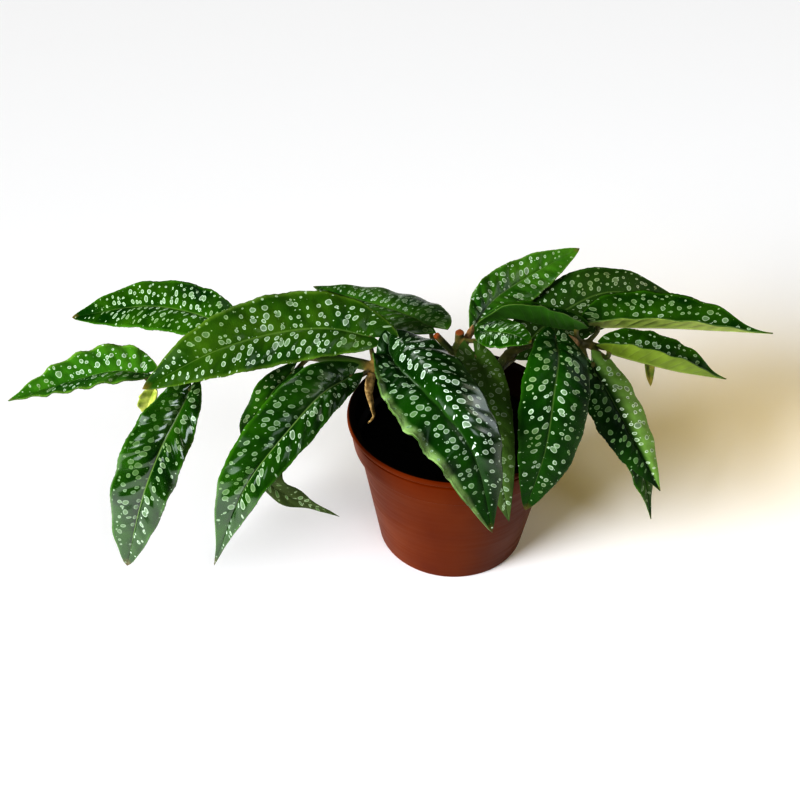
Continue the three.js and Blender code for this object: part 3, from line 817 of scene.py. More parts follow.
@dataclass
class AngelWingBlade:
    """One leaf blade, grown along its midrib.

    Pairs are for the left and the right half. In every method, u runs from -1 at the left
    margin to 1 at the right, and v from 0 at the sinus behind the joint to 1 at the tip.
    The margin bends by fold and droop degrees, waves and frills, and its lobes reach back.
    """

    name: str
    line: tuple[Triple, ...]
    face: Triple
    widths: Pair
    droop: Pair
    phase: float
    widest: float
    lobes: Pair = (6, 6)
    fold: Pair = (5, 5)
    wave: float = 0.5
    waves: int = 5
    bloom: Bloom = Bloom.SATIN
    under: Finish = UNDERSIDE
    skins: tuple[Finish, ...] = ()
    slot: str = "leaf_blade"
    rows: int = 84
    columns: int = 40
    thickness: float = 0.7
    edge_rounding: float = 0.58
    rounding: Pair = (0.58, 0.58)
    first_row: float = 0.007
    row_crowding: float = 1.45
    quilting: float = 0.8
    midrib_ridge: float = 0.45
    groove_width: float = 0.06
    channel_width: float = 0.28
    tooth: float = 0.015
    tooth_rate: float = 1.7
    nicks: float = 0.009
    nick_rate: float = 6.1
    acumen: float = 0.12
    rib_shift: float = 0.0
    channel: float = 1.2
    frill: Pair = (0.0, 0.0)
    curl: Pair = (0.0, 0.0)
    frill_waves: float = 11.0
    joint_reach: float = 1.5
    rib: GrownLine = field(init=False)

    def __post_init__(self) -> None:
        """Measure the midrib."""
        self.rib = GrownLine(self.line)

    def flat(self, u: float, v: float) -> Pair:
        """Place on the blade as if pressed flat.

        Args:
            u: Place across the blade.
            v: Place along it.

        Returns:
            Millimetres across from the blade's middle line, and along it from the joint.
        """
        k = 1 if u > 0 else 0
        taper = self.edge_rounding * (1 - self.widest) / self.widest
        rounding = self.rounding[k] if v < self.widest else self.edge_rounding
        spread = (v / self.widest) ** rounding
        narrowing = ((1 - v) / (1 - self.widest)) ** taper
        if v > ACUMEN_FROM:
            past = (v - ACUMEN_FROM) / (1 - ACUMEN_FROM)
            narrowing *= 1 - self.acumen * math.sin(math.pi / 2 * past) ** 2
        teeth = 1 + self.tooth * math.sin(2 * math.pi * self.waves * self.tooth_rate * v + self.phase)
        teeth += self.nicks * math.sin(2 * math.pi * self.waves * self.nick_rate * v + 2 * self.phase + k)
        across = abs(u)
        out_y = -self.lobes[k] + (self.rib.length + self.lobes[k]) * v
        rib_y = self.rib.length * v**VEIN_SWEEP
        return (
            math.copysign(self.widths[k] * spread * narrowing * teeth * across, u),
            rib_y + (out_y - rib_y) * across,
        )

    def from_rib(self, u: float, v: float) -> float:
        """Place between the midrib and the margin, where the midrib lies off the middle.

        Args:
            u: Place across the blade.
            v: Place along it.

        Returns:
            From -1 at the left margin through 0 on the midrib to 1 at the right.
        """
        rib = self.rib_shift * (1 - v) ** RIB_RETURN
        return (u - rib) / (1 - rib) if u > rib else (u - rib) / (1 + rib)

    def on_skin(self, u: float, v: float) -> tuple[Pair, Pair]:
        """Where a point lies in the blade's two maps.

        Args:
            u: Place across the blade.
            v: Place along it.

        Returns:
            The plan, 0 to 1 from margin to margin and from sinus to tip, and the vein
            map in units of 100 mm, across and along the side veins.
        """
        side = self.from_rib(u, v)
        x = self.flat(u, v)[0] - self.flat(self.rib_shift * (1 - v) ** RIB_RETURN, v)[0]
        rib_y = self.rib.length * v**VEIN_SWEEP
        out_y = self.rib.length * v
        y = rib_y + (out_y - rib_y) * (VEIN_SLANT[0] + VEIN_SLANT[1] * abs(side))
        # Each leaf takes another stretch of the pattern, so that no two are spotted alike
        shift = sum(ord(letter) for letter in self.name) * 0.137 % 5
        return ((side + 1) / 2, v), (x / 100 + shift, y / 100 + shift)

    def relief(self, u: float, v: float) -> float:
        """Height of the skin over the plain blade, in millimetres.

        Args:
            u: Place across the blade.
            v: Place along it.

        Returns:
            Pillows between the side veins and a groove along the midrib.
        """
        across = abs(self.from_rib(u, v))
        pillow = abs(math.sin(math.pi * VEIN_COUNT * (v**VEIN_SWEEP + v) / 2)) ** 0.7
        body = min(1.0, across * 4) * min(1.0, (1 - across) * 3) * min(1.0, (1 - v) * 5)
        groove = -self.midrib_ridge * math.exp(-((across / self.groove_width) ** 2)) * (1 - v)
        dip = self.channel * math.exp(-across / self.channel_width)
        groove -= dip * min(1.0, 6 * v) * min(1.0, 4 - 4 * v)
        return self.quilting * (pillow - 0.5) * body * min(1.0, v * 6) + groove

    def margin_lift(self, u: float, v: float) -> float:
        """How far waves, frills and a curled edge raise a point, in millimetres.

        Args:
            u: Place across the blade.
            v: Place along it.

        Returns:
            The lift, which is nothing along the middle and at both ends.
        """
        k = 1 if u > 0 else 0
        ends = min(1.0, 4 * (1 - v)) * min(1.0, 6 * v)
        ruffle = math.sin(2 * math.pi * self.waves * v + self.phase + (0 if k else 2))
        turn = 2 * math.pi * self.frill_waves * v + 3 * self.phase
        frill = math.sin(turn) + 0.45 * math.sin(1.73 * turn + 1)
        across = abs(u)
        edge = self.frill[k] * frill * across**5 + self.curl[k] * across**7
        return (self.wave * ruffle * across**3 + edge) * ends

    def axes(self, share: float) -> tuple[Vector, Vector, Vector]:
        """The blade's own directions, as unit vectors.

        Args:
            share: Share of the midrib's length, from 0 to 1.

        Returns:
            The ways ahead, to the right and up.
        """
        ahead = self.rib.ahead(share)
        side = ahead.cross(Vector(self.face)).normalized()
        return ahead, side, side.cross(ahead)

    def point(self, u: float, v: float) -> Vector:
        """Place of a point of the blade on the plant.

        Args:
            u: Place across the blade.
            v: Place along it.

        Returns:
            The point in millimetres.
        """
        k = 1 if u > 0 else 0
        x, y = self.flat(u, v)
        share = min(max(y / self.rib.length, 0.0), 1.0)
        ahead, side, up = self.axes(share)
        centre = self.rib.at(share) + ahead * min(y, 0.0)
        fold, edge = math.radians(self.fold[k]), math.radians(self.droop[k])
        turn = fold + 0.5 * (edge - fold) * abs(x / self.widths[k])
        rise = abs(x) * math.sin(turn) + self.margin_lift(u, v) + self.relief(u, v)
        return centre + side * x * math.cos(turn) + up * rise

    def build(self) -> Piece:
        """Bend a flat grid into the blade, give it skin on both sides and dress it.

        Returns:
            The finished leaf.
        """
        mesh = bmesh.new()
        bmesh.ops.create_grid(mesh, x_segments=self.columns, y_segments=self.rows, size=1.0)
        plan = mesh.loops.layers.uv.new("BladePlan")
        vein = mesh.loops.layers.uv.new("BladeVein")
        spots: dict[int, Pair] = {}
        for vert in mesh.verts:
            s = (vert.co.y + 1) / 2
            spots[vert.index] = (vert.co.x, self.first_row + (1 - self.first_row) * s**self.row_crowding)
        for face in mesh.faces:
            for loop in face.loops:
                loop[plan].uv, loop[vein].uv = self.on_skin(*spots[loop.vert.index])
        for vert in mesh.verts:
            u, v = spots[vert.index]
            vert.co = self.point(u, min(v, 1.0)) * MM
        bmesh.ops.remove_doubles(mesh, verts=mesh.verts, dist=2e-6)
        skins = self.skins or (self.bloom.value, self.under, MARGIN)
        piece = take_object(self.name + "_blade", mesh, skins)
        add_modifier(
            piece, "skin on both sides", "SOLIDIFY", thickness=self.thickness * MM, offset=0.0,
            material_offset=1, material_offset_rim=2,
        )
        return settle(piece, self.name)

    def joint(self) -> tuple[Vector, Vector]:
        """Where the petiole meets the blade.

        Returns:
            The point on the blade in millimetres, and the way down from it.
        """
        ahead, _, up = self.axes(0.0)
        return self.rib.at(0.0) + ahead * self.joint_reach, -up


def sweep(
    mesh: BMesh, points: Sequence[Quad], sides: int, steps: int,
    swell: Callable[[float], float] = lambda share: 0.0,
) -> None:
    """Grow a closed round stem through points, ring by ring.

    Args:
        mesh: The bmesh that takes the stem, in metres.
        points: The stem's points, each with its radius, which runs straight between them.
        sides: Number of sides of each ring.
        steps: Number of rings after the first.
        swell: Added radius in millimetres at a share of the length.
    """
    line = GrownLine([point[:3] for point in points])
    rings: list[list[bmesh.types.BMEdge]] = []
    turn = line.ahead(0).to_track_quat("Z", "Y")
    for i in range(steps + 1):
        share = i / steps
        along = share * (len(points) - 1)
        k = min(int(along), len(points) - 2)
        radius = points[k][3] + (points[k + 1][3] - points[k][3]) * (along - k) + swell(share)
        bend = (turn @ Vector((0, 0, 1))).rotation_difference(line.ahead(share))
        turn = bend @ turn
        place = Matrix.Translation(line.at(share) * MM) @ turn.to_matrix().to_4x4()
        ring = bmesh.ops.create_circle(
            mesh, cap_ends=i in (0, steps), segments=sides, radius=radius * MM, matrix=place
        )["verts"]
        edges = {edge for vert in ring for edge in vert.link_edges}
        rings.append(list(edges))
    for near, far in zip(rings, rings[1:]):
        bmesh.ops.bridge_loops(mesh, edges=near + far)


@dataclass
class Cane:
    """One cane with its swollen joints, cut stubs and the petioles that it carries.

    Each point of a line, a knob or a stub is a place and a radius. A petiole ends tucked
    into its blade's skin, drops from it for a share of its length, and flares at both
    ends, by so many millimetres and so steeply.
    """

    name: str
    line: tuple[Quad, ...]
    knobs: tuple[Quad, ...]
    petioles: dict[str, Triple]
    stubs: tuple[tuple[Quad, ...], ...] = ()
    knob_squash: float = 0.75
    petiole_radius: float = 1.3
    petiole_tuck: float = 0.2
    petiole_drop: float = 0.3
    root_flare: Pair = (0.7, 9)
    tip_flare: Pair = (0.35, 12)
    fuse: float = 0.55

    def build(self, blades: dict[str, AngelWingBlade]) -> Piece:
        """Grow the cane and its petioles, and fuse them into one skin.

        Args:
            blades: Leaf blades by name.

        Returns:
            The finished cane.
        """
        mesh = bmesh.new()
        sweep(mesh, self.line, sides=16, steps=60)
        for stub in self.stubs:
            sweep(mesh, stub, sides=12, steps=8)
        for x, y, z, radius in self.knobs:
            squash = Matrix.Diagonal((1, 1, self.knob_squash, 1))
            place = Matrix.Translation(Vector((x, y, z)) * MM) @ squash
            bmesh.ops.create_icosphere(mesh, subdivisions=3, radius=radius * MM, matrix=place)
        for leaf, root in self.petioles.items():
            end, down = blades[leaf].joint()
            start = Vector(root)
            end = end + down * self.petiole_tuck
            near = end + down * self.petiole_drop * (start - end).length
            stalk = [(*place, self.petiole_radius) for place in (start, near, end)]
            sweep(mesh, stalk, sides=10, steps=18, swell=self.flare)
        piece = take_object(self.name + "_grown", mesh, (CANE,))
        fine = {"mode": "VOXEL", "voxel_size": self.fuse * MM, "use_smooth_shade": True}
        add_modifier(piece, "one skin", "REMESH", **fine)
        add_modifier(piece, "soft joints", "SMOOTH", factor=0.5, iterations=4)
        bake_modifiers(piece)
        return settle(piece, self.name)

    def flare(self, share: float) -> float:
        """How much thicker a petiole is where it leaves the cane and under the blade.

        Args:
            share: Share of its length, from 0 at the cane to 1 at the blade.

        Returns:
            Added radius in millimetres.
        """
        root, root_rate = self.root_flare
        tip, tip_rate = self.tip_flare
        return root * math.exp(-share * root_rate) + tip * math.exp(-(1 - share) * tip_rate)


@dataclass
class DriedStalk:
    """Dried flower stalk that hangs from the left cane's first joint and curls up.

    Its creases and its ribs are soft noise, with rates in cells a metre.
    """

    line: tuple[Quad, ...] = (
        (-45.2, -9.2, 117.4, 2.2), (-45.8, -11.0, 113.5, 2.7), (-46.3, -12.4, 108, 2.0),
        (-45, -14, 99, 1.4), (-44, -14.5, 92, 0.9), (-47, -15, 88, 0.5),
    )
    crease_rate: float = 501.4
    crease_depth: float = 0.25
    rib_rates: Triple = (900, 900, 120)
    rib_depth: float = 0.35

    def build(self) -> Piece:
        """Sweep the stalk and wrinkle it as it dried.

        Returns:
            The finished stalk.
        """
        mesh = bmesh.new()
        sweep(mesh, self.line, sides=14, steps=60)
        mesh.normal_update()
        for vert in mesh.verts:
            crease = noise.noise(vert.co * self.crease_rate)
            ribs = noise.noise(vert.co * Vector(self.rib_rates))
            vert.co += vert.normal * (self.crease_depth * crease + self.rib_depth * ribs) * MM
        piece = take_object("dried_flower_stalk_shrunken", mesh, (DRIED,))
        return settle(piece, "dried_flower_stalk")


@dataclass
class NurseryPot:
    """Round collared nursery pot, moulded in one piece.

    Edges that turn by more than edge_turn, in radians, are rounded.
    """

    height: float = 88.0
    lip_radius: float = 60.0
    lip_height: float = 3.4
    collar_top: float = 59.0
    collar_foot: float = 57.0
    collar_height: float = 18.0
    body_top: float = 54.0
    base_radius: float = 43.0
    wall: float = 1.4
    floor: float = 2.6
    hole_radius: float = 4.0
    hole_ring: float = 31.0
    hole_count: int = 6
    hole_depth: float = 20.0
    edge_radius: float = 0.28
    edge_turn: float = 0.35
    steps: int = 160

    def profile(self) -> list[Pair]:
        """Section of the pot from the middle of its base round to the middle of its floor.

        Returns:
            Radius and height of each corner, in millimetres.
        """
        top, lip, foot = self.height, self.height - self.lip_height, self.height - self.collar_height
        collar, edge = self.collar_top, self.lip_radius
        outside = [
            (0, 0), (self.base_radius - 0.8, 0), (self.base_radius, 0.8), (self.body_top, foot - 1.5),
            (self.collar_foot - 0.6, foot), (self.collar_foot, foot + 0.6), (collar - 0.3, lip - 2),
            (collar - 2.2, lip - 0.8), (collar - 2, lip - 0.1), (edge - 0.7, lip), (edge, lip + 0.8),
            (edge, top - 0.9), (edge - 0.7, top), (edge - 2, top),
        ]
        inside = [
            (collar - 2.2, top - 1.2), (self.collar_foot - 0.2, foot + 1.6), (self.body_top, foot - 0.6),
            (self.base_radius, self.floor),
        ]
        return outside + [(r - self.wall, z) for r, z in inside] + [(0, self.floor)]

    def build(self) -> Piece:
        """Spin the section, round its edges and cut the drainage holes.

        Returns:
            The finished pot.
        """
        mesh = lathe(self.profile(), self.steps)
        inner = [edge for edge in mesh.edges if len(edge.link_faces) == 2]
        sharp = [edge for edge in inner if edge.calc_face_angle(0) > self.edge_turn]
        bmesh.ops.bevel(
            mesh, geom=sharp, offset=self.edge_radius * MM, offset_type="OFFSET", affect="EDGES",
            segments=3, profile=0.5, material=-1, clamp_overlap=True,
        )
        # Painted shade: what faces inwards, and the lip's inner half, take the nearly black second
        # material
        for face in mesh.faces:
            middle = face.calc_center_median() / MM
            faces_in = face.normal.xy.dot(middle.xy) < -0.5 and middle.z < self.height - 0.5
            on_lip = middle.z > self.height - 1.3 and middle.xy.length < self.lip_radius - 1.2
            face.material_index = int(faces_in or on_lip)
        pot = take_object("nursery_pot", mesh, (POT_PLASTIC, SHADE_DARK_PLASTIC))
        turns = [2 * math.pi * (i + 0.5) / self.hole_count for i in range(self.hole_count)]
        ring = [(self.hole_ring * math.cos(t), self.hole_ring * math.sin(t)) for t in turns]
        holes = [(x, y, self.hole_radius) for x, y in ring]
        drill(pot, holes, middle=0, depth=self.hole_depth, sides=40, overlaps=False)
        return settle(pot, "pot")


@dataclass
class PottingSoil:
    """Dark potting mix with a crumbly top and a plain hole round each cane."""

    top: float = 70.0
    mound: float = 3.0
    mound_reach: float = 52.0
    clearance: float = 0.3
    shoulder: float = 3.0
    roughness: float = 1.3
    lump_rate: float = 160.0
    lump_limits: Pair = (-1.5, 1.8)
    stem_play: float = 0.25
    stem_depth: float = 44.0
    crumbs: int = 170
    crumb_reach: float = 50.0
    crumb_size: Pair = (0.7, 2.0)
    rings: int = 26
    seed: int = 11
    pot: NurseryPot = field(default_factory=NurseryPot)

    def inner_radius(self, z: float) -> float:
        """Radius of the soil at a height, a hair inside the pot's wall.

        Args:
            z: Height in millimetres.

        Returns:
            The radius in millimetres.
        """
        foot = self.pot.height - self.pot.collar_height - 0.6
        low, high = self.pot.base_radius - self.pot.wall, self.pot.body_top - self.pot.wall
        share = (z - self.pot.floor) / (foot - self.pot.floor)
        return low + (high - low) * share - self.clearance

    def surface(self, r: float) -> float:
        """Height of the smooth mound at a radius, in millimetres."""
        return self.top + self.mound * max(0.0, 1 - (r / self.mound_reach) ** 2)

    def build(self, canes: Sequence[Cane]) -> Piece:
        """Spin the soil, roughen its top, strew crumbs and bore the stem holes.

        Args:
            canes: The canes that stand in it.

        Returns:
            The finished soil.
        """
        rim, foot = self.top - self.shoulder, self.pot.floor + self.clearance
        edge = self.inner_radius(rim) - 1.5
        radii = [edge * i / self.rings for i in range(self.rings + 1)]
        section = [(r, self.surface(r)) for r in radii]
        section += [(self.inner_radius(rim), rim), (self.inner_radius(foot) - 1, foot), (0, foot)]
        mesh = lathe(section, steps=120)
        lowest, highest = self.lump_limits
        for vert in mesh.verts:
            if vert.co.z > (self.top - 1) * MM:
                lumps = noise.fractal(vert.co * self.lump_rate, 0.9, 2.2, 4)
                vert.co.z += max(lowest, min(highest, self.roughness * lumps)) * MM
        rng = random.Random(self.seed)
        for _ in range(self.crumbs):
            r, turn = self.crumb_reach * math.sqrt(rng.random()), rng.uniform(0, 2 * math.pi)
            size = rng.uniform(*self.crumb_size)
            spot = Vector((r * math.cos(turn), r * math.sin(turn), self.surface(r) - size * 0.15))
            tilt = Euler([rng.uniform(0, 3) for _ in range(3)]).to_matrix().to_4x4()
            squash = Matrix.Diagonal((1, rng.uniform(0.6, 1), rng.uniform(0.5, 0.9), 1))
            bmesh.ops.create_icosphere(
                mesh, subdivisions=1, radius=size * MM,
                matrix=Matrix.Translation(spot * MM) @ tilt @ squash,
            )
        soil = take_object("potting_soil", mesh, (PEAT,))
        stems = [cane.line[0] for cane in canes]
        holes = [(x, y, radius + self.stem_play) for x, y, _, radius in stems]
        drill(soil, holes, middle=self.top, depth=self.stem_depth, sides=32, overlaps=True)
        return settle(soil, "soil")


LEAVES: tuple[AngelWingBlade, ...] = (
    AngelWingBlade(
        "leaf_left_back", ((-127, 20, 123), (-152, 38, 120), (-189, 58, 111), (-245, 75, 89)),
        face=(0.1, -0.5, 0.85), widths=(16, 18), lobes=(8, 8), fold=(10, 12), droop=(-20, -8), wave=0.8,
        phase=0.4, widest=0.42,
    ),
    AngelWingBlade(
        "leaf_left_tip", ((-168, -6, 108), (-186, -6, 109), (-209, -8, 103), (-247, -15, 91)),
        face=(-0.05, -0.3, 1), widths=(15, 16), lobes=(4, 6), fold=(32, 28), droop=(12, 0), wave=1.2,
        waves=6, phase=1.0, widest=0.36, bloom=Bloom.BRIGHT,
    ),
    AngelWingBlade(
        "leaf_left_long",
        ((-44, -5, 137), (-66, -6, 142), (-92, -10, 141), (-123, -22, 136), (-160, -35, 119)),
        face=(0.1, -0.6, 0.75), widths=(17, 21), lobes=(5, 14), fold=(8, 8), droop=(-22, -12), wave=0.7,
        waves=6, phase=2.2, widest=0.42, bloom=Bloom.OLIVE,
    ),
    AngelWingBlade(
        "leaf_left_hanging",
        ((-139, -22, 113), (-144, -37, 104), (-151, -52, 92), (-161, -64, 68), (-173, -72, 27)),
        face=(-0.1, -0.85, 0.3), widths=(14, 19), fold=(10, 10), droop=(-25, -25), wave=1.4, phase=0.0,
        widest=0.45, bloom=Bloom.SLEEK, channel=2.4, quilting=0.9,
    ),
    AngelWingBlade(
        "leaf_left_front",
        ((-53, -20, 124), (-66, -41, 127), (-81, -64, 119), (-98, -82, 101), (-117, -92, 54)),
        face=(-0.1, -0.7, 0.7), widths=(12, 18), lobes=(6, 8), fold=(10, 10), droop=(-30, -15),
        wave=0.6, waves=6, phase=1.5, widest=0.37, bloom=Bloom.RIBBED, channel=2.0, acumen=0.45,
    ),
    AngelWingBlade(
        "leaf_left_under",
        ((-87, -8, 116), (-98, -20, 108), (-107, -26, 82), (-102, -28, 51), (-63, -30, 31)),
        face=(-0.3, -0.9, 0.3), widths=(14, 10), fold=(10, 10), droop=(-25, -25), wave=2.2, phase=2.5,
        widest=0.35, bloom=Bloom.WITHERING, under=DRY_UNDERSIDE, acumen=0.35,
    ),
    AngelWingBlade(
        "leaf_back_left", ((-15, 26, 125), (-28, 42, 122), (-56, 72, 112), (-96, 110, 98)),
        face=(0.2, -0.3, 0.9), widths=(18, 22), lobes=(8, 10), fold=(5, 8), droop=(-25, -25), wave=0.7,
        phase=0.7, widest=0.36, bloom=Bloom.SUNNY,
    ),
    AngelWingBlade(
        "leaf_centre_front",
        ((-30, -17, 145), (-20, -36, 149), (-6, -60, 146), (10, -79, 129), (20, -86, 82)),
        face=(0.1, -0.45, 0.9), widths=(19, 27), lobes=(12, 15), fold=(-10, -8), droop=(-30, -35),
        wave=1.0, waves=6, phase=0.2, widest=0.38, bloom=Bloom.FRILLED, rib_shift=0.62,
        frill=(0.3, 2.4), curl=(0.0, 4.0), rounding=(0.58, 0.78), channel=3.4, quilting=0.9,
        frill_waves=7.5,
    ),
    AngelWingBlade(
        "leaf_centre_middle", ((8, -14, 136), (13, -32, 134), (18, -53, 120), (29, -69, 73)),
        face=(0, -0.7, 0.6), widths=(11, 16), lobes=(10, 12), droop=(-30, -30), phase=1.9, widest=0.38,
        bloom=Bloom.SHADED,
    ),
    AngelWingBlade(
        "leaf_centre_right",
        ((47, -15, 150), (48, -32, 149), (46, -48, 138), (44, -58, 111), (37, -62, 75)),
        face=(0.2, -0.8, 0.5), widths=(20, 16), droop=(-35, -30), phase=0.9, widest=0.42,
        bloom=Bloom.DEEP,
    ),
    AngelWingBlade(
        "leaf_right_hanging", ((68, -8, 130), (76, -17, 122), (90, -28, 102), (109, -35, 68)),
        face=(0.5, -0.7, 0.6), widths=(14, 15), fold=(5, 0), droop=(-25, -60), wave=0.6, phase=2.8,
        widest=0.38, bloom=Bloom.HALF_LIT, channel=3.0, acumen=0.3, rounding=(0.46, 0.58),
    ),
    AngelWingBlade(
        "leaf_right_behind", ((75, 0, 118), (87, -4, 98), (103, -9, 66), (114, -14, 27)),
        face=(0.6, -0.6, 0.5), widths=(11, 11), lobes=(5, 5), droop=(-30, -30), wave=0.6, phase=0.5,
        widest=0.4, acumen=0.65,
    ),
    AngelWingBlade(
        "leaf_back_centre", ((8, 18, 133), (17, 36, 137), (37, 58, 141), (66, 76, 150)),
        face=(0.1, -0.5, 0.85), widths=(14, 14), lobes=(6, 8), fold=(8, 8), droop=(-15, -15), wave=0.8,
        phase=1.1, widest=0.42, bloom=Bloom.SUNNY, rounding=(0.9, 0.58),
    ),
    AngelWingBlade(
        "leaf_back_right", ((34, 23, 116), (55, 41, 128), (84, 57, 134), (131, 65, 120)),
        face=(0.1, -0.4, 0.9), widths=(20, 20), lobes=(8, 8), droop=(-20, -20), wave=0.6, phase=2.0,
        widest=0.42, bloom=Bloom.OLD,
    ),
    AngelWingBlade(
        "leaf_right_inner", ((61, 2, 143), (47, 6, 142), (27, 8, 145), (9, 8, 140)), face=(0, 0, 1),
        widths=(13, 14), lobes=(5, 5), fold=(60, 20), droop=(75, 0), wave=0.4, waves=4, phase=0.2,
        widest=0.42, under=SHADED_UNDERSIDE,
    ),
    AngelWingBlade(
        "leaf_right_long", ((70, 11, 140), (88, 10, 141.5), (117, 6, 144.5), (156, -1, 147)),
        face=(0, 0, 1), widths=(27, 9.5), lobes=(8, 8), fold=(19, 46), droop=(2, 62), phase=1.4,
        widest=0.34, under=LIT_UNDERSIDE, acumen=0.88,
    ),
    AngelWingBlade(
        "leaf_right_front", ((75, -5, 135.5), (87, -8.5, 134), (106, -13, 132), (134, -16, 128.5)),
        face=(0, 0, 1), widths=(21, 10.5), fold=(29, 62), droop=(-3, 80), phase=0.1, widest=0.4,
        acumen=0.82,
    ),
    AngelWingBlade(
        "leaf_small_glossy", ((11, -4, 143), (19, -12, 148), (27, -19, 151), (35, -25, 151)),
        face=(0, -0.5, 0.85), widths=(9, 9), lobes=(4, 4), droop=(-25, -25), wave=0.4, waves=4,
        phase=1.3, widest=0.45, bloom=Bloom.GLOSSY, channel=0.0,
    ),
)

# Buds and papery scales are small blades of the same make
STIPULE = AngelWingBlade(
    "stipule_centre", ((3.6, 6.8, 129.6), (5.8, 6.4, 134), (6.6, 6.4, 140)), face=(0.5, -0.8, 0.2),
    widths=(2.6, 2.6), lobes=(0.6, 0.6), fold=(-15, -15), droop=(-40, -40), wave=0.2, waves=2,
    phase=0.3, widest=0.4, skins=(SCALE,) * 3, slot="papery_scale", rows=24, columns=12,
    quilting=0.15, midrib_ridge=0.15, thickness=0.4, channel=0.0,
)
SMALL_BLADES: tuple[AngelWingBlade, ...] = (
    AngelWingBlade(
        "terminal_bud", ((-164.5, -9.6, 100.2), (-167.5, -12, 94), (-171, -14, 86)),
        face=(0, -0.9, 0.4), widths=(5, 6), lobes=(1, 1), fold=(20, 20), droop=(50, 40), wave=1,
        waves=3, phase=0.3, widest=0.5, skins=(YOUNG,) * 3, slot="young_leaf", rows=30, columns=16,
        quilting=0.25, midrib_ridge=0.3, channel=0.0,
    ),
    AngelWingBlade(
        "hanging_bud_right", ((98.1, 1.8, 128.2), (99.3, 0.4, 121), (101.4, -2.4, 112)),
        face=(0.2, -0.9, 0.2), widths=(2.8, 2.4), lobes=(0.6, 0.6), fold=(20, 20), droop=(40, 40),
        wave=0.3, waves=2, phase=0.3, widest=0.4, skins=(BUD,) * 3, slot="young_leaf", rows=24,
        columns=12, quilting=0.1, midrib_ridge=0.2, channel=0.0, rounding=(0.25, 0.25),
    ),
    STIPULE,
    replace(
        STIPULE, name="stipule_right_upper", line=((61.4, 0.8, 133.6), (57, -3, 139), (51, -3, 143)),
        face=(-0.2, -0.8, 0.5), widths=(2.4, 2.4),
    ),
)

CANES: tuple[Cane, ...] = (
    Cane(
        "cane_left",
        line=(
            (-14, 4, 48.3, 3.2), (-14, 4, 70, 3.2), (-14.4, 4, 80, 3.1), (-22, 2, 100, 3),
            (-44, -4, 117, 2.8), (-82, 0, 120, 2.4), (-118, 2, 117, 2.2), (-150, -5, 108, 1.8),
            (-163, -9, 101, 1.4),
        ),
        knobs=(
            (-18, 3, 92, 3.8), (-44, -5, 117, 3.9), (-82, 0, 120, 3.2), (-119, 2, 117, 3),
            (-149, -5, 108, 2.5),
        ),
        petioles={
            "leaf_left_long": (-44, -4, 118), "leaf_left_front": (-46, -6, 117),
            "leaf_centre_front": (-24, 0, 104), "leaf_left_under": (-80, 0, 119),
            "leaf_left_back": (-119, 2, 117), "leaf_left_hanging": (-136, -2, 112),
            "leaf_left_tip": (-150, -5, 108),
        },
    ),
    Cane(
        "cane_centre",
        line=(
            (2, 12, 48.3, 3), (2, 12, 70, 3), (2, 12, 80, 3), (1, 11, 100, 2.8), (0, 8, 122, 2.6),
            (0, 5, 136, 2.4),
        ),
        knobs=((1, 11, 96, 3.6), (0, 7, 126, 3.4)),
        stubs=(((-1, 8, 118, 2), (-8, 7, 127, 2), (-12.5, 6, 133, 1.9)),),
        petioles={
            "leaf_centre_middle": (0, 7, 126), "leaf_back_left": (0, 9, 114),
            "leaf_back_centre": (1, 9, 118), "leaf_small_glossy": (0, 6, 130),
        },
    ),
    Cane(
        "cane_right",
        line=(
            (16, 2, 48.3, 3), (16, 2, 70, 3), (16, 2, 80, 3), (18, 3, 100, 2.8), (26, 6, 122, 2.6),
            (44, 6, 132, 2.4), (64, 5, 132, 2.2), (80, 4, 130, 1.3), (98, 2, 128.5, 0.9),
        ),
        knobs=((17, 3, 94, 3.6), (27, 6, 123, 3.3), (45, 6, 132, 3.1), (64, 5, 132, 3.1)),
        petioles={
            "leaf_centre_right": (45, 6, 132), "leaf_right_inner": (64, 5, 132),
            "leaf_right_long": (66, 5, 132), "leaf_right_front": (68, 5, 131),
            "leaf_right_hanging": (64, 4, 131), "leaf_right_behind": (64, 7, 130),
            "leaf_back_right": (22, 5, 112),
        },
    ),
)


class LampKind(Enum):
    """What a light is like."""

    FAR = "even light from far away"
    PANEL = "near window that shows as a highlight"
    BOUNCE = "near wall that throws light back without a highlight"
    SHEEN = "card that shows only as a highlight"


@dataclass(frozen=True)
class StudioLight:
    """One studio light, placed in millimetres and turned to face a point."""

    name: str
    kind: LampKind
    place: Triple
    strength: float
    size: float
    colour: str = "#ffffff"
    aim: Triple = (0, 0, 80)

    def build(self) -> Piece:
        """Hang the light.

        Returns:
            The light's object.
        """
        far = self.kind is LampKind.FAR
        lamp = bpy.data.lights.new(self.name, "SUN" if far else "AREA")
        lamp.energy = self.strength
        lamp.color = linear(self.colour)[:3]
        if far:
            lamp.angle = math.radians(self.size)
        else:
            lamp.size = self.size * MM
        piece = link_object(self.name, lamp)
        piece.location = Vector(self.place) * MM
        toward = Vector(self.aim) - Vector(self.place)
        piece.rotation_euler = toward.to_track_quat("-Z", "Y").to_euler()
        # Panels and cards are seen in a waxy leaf, and a card lights nothing else
        piece.visible_glossy = self.kind in (LampKind.PANEL, LampKind.SHEEN)
        piece.visible_diffuse = self.kind is not LampKind.SHEEN
        return piece


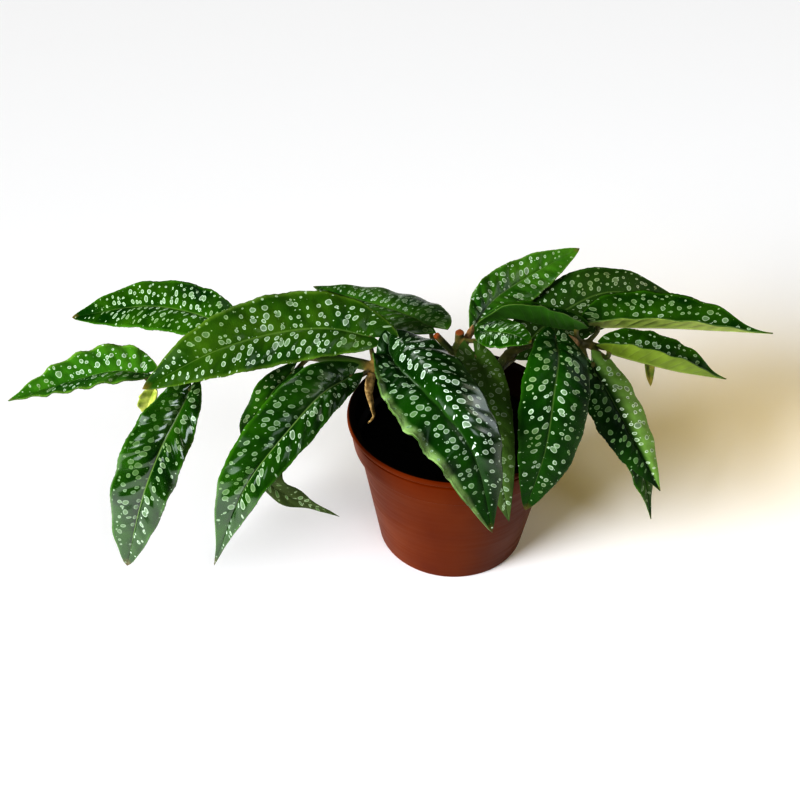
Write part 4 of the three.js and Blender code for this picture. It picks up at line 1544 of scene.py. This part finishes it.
@dataclass
class Studio:
    """White table, low soft light from the left, and cards that the leaves mirror."""

    sky: str = "#f4f0cc"
    sky_strength: float = 0.14
    backdrop: str = "#f1efeb"
    table: float = 4000.0
    lights: tuple[StudioLight, ...] = (
        StudioLight("low side light", LampKind.FAR, (-1490, -1070, 735), 5.8, 33, "#f4f6ff"),
        StudioLight("front window", LampKind.PANEL, (520, -860, 1060), 2.8, 520, "#eef4ff"),
        StudioLight("right card", LampKind.SHEEN, (900, 240, 640), 3.6, 700, "#eef2ff"),
        StudioLight("window", LampKind.SHEEN, (900, 120, 1150), 2.0, 620, "#fff8ee"),
        StudioLight("left card", LampKind.PANEL, (-820, -780, 880), 1.3, 460, "#f2f6ff"),
        StudioLight("back card", LampKind.SHEEN, (-560, 720, 1090), 2.0, 420, "#fbfaff"),
        StudioLight("warm wall", LampKind.BOUNCE, (240, 112, 180), 0.1, 150, "#f6c822", (190, 70, 0)),
    )

    def build(self) -> None:
        """Lay the table, hang the lights and set the sky."""
        mesh = bmesh.new()
        bmesh.ops.create_grid(mesh, x_segments=1, y_segments=1, size=self.table * MM / 2)
        table = take_object("white_table", mesh, (PAPER,))
        for light in self.lights:
            light.build()
        world = bpy.data.worlds.new("pale studio")
        world.use_nodes = True
        tree = world.node_tree
        seen = add_node(tree, "LightPath").outputs["Is Camera Ray"]
        dim = [self.sky_strength * part for part in linear(self.sky)[:3]] + [1.0]
        glow = add_node(tree, "Mix", {0: seen, 6: dim, 7: self.backdrop}, **COLOURS)
        feed(tree.nodes["Background"], {"Color": glow})
        bpy.context.scene.world = world
        world.cycles_visibility.glossy = False
        view = bpy.context.scene.view_settings
        view.view_transform = "Standard"
        view.look = "High Contrast"
        LOG.info("studio: %d lights", len(self.lights))


@dataclass
class Viewpoint:
    """The photographer's place: a little above and in front, looking down."""

    place: Triple = (0, -392, 393)
    pitch_down: float = 37.32
    yaw_left: float = 4.51
    lens: float = 40.5

    def build(self) -> None:
        """Set up the camera and make it the scene's own."""
        camera = bpy.data.cameras.new("photographer")
        camera.lens = self.lens
        camera.sensor_width = 36
        camera.clip_start = 0.01
        camera.dof.use_dof = False
        piece = link_object("photographer", camera)
        piece.location = Vector(self.place) * MM
        piece.rotation_euler = (math.radians(90 - self.pitch_down), 0, math.radians(self.yaw_left))
        bpy.context.scene.camera = piece


def main() -> None:
    """Build the plant from the pot up, then the studio and the camera."""
    NurseryPot().build()
    PottingSoil().build(CANES)
    blades = {leaf.name: leaf for leaf in LEAVES}
    for blade in LEAVES + SMALL_BLADES:
        blade.build()
    for cane in CANES:
        cane.build(blades)
    DriedStalk().build()
    Studio().build()
    Viewpoint().build()


if __name__ == "__main__":
    logging.basicConfig(level=logging.INFO, format="%(name)s: %(message)s")
    main()
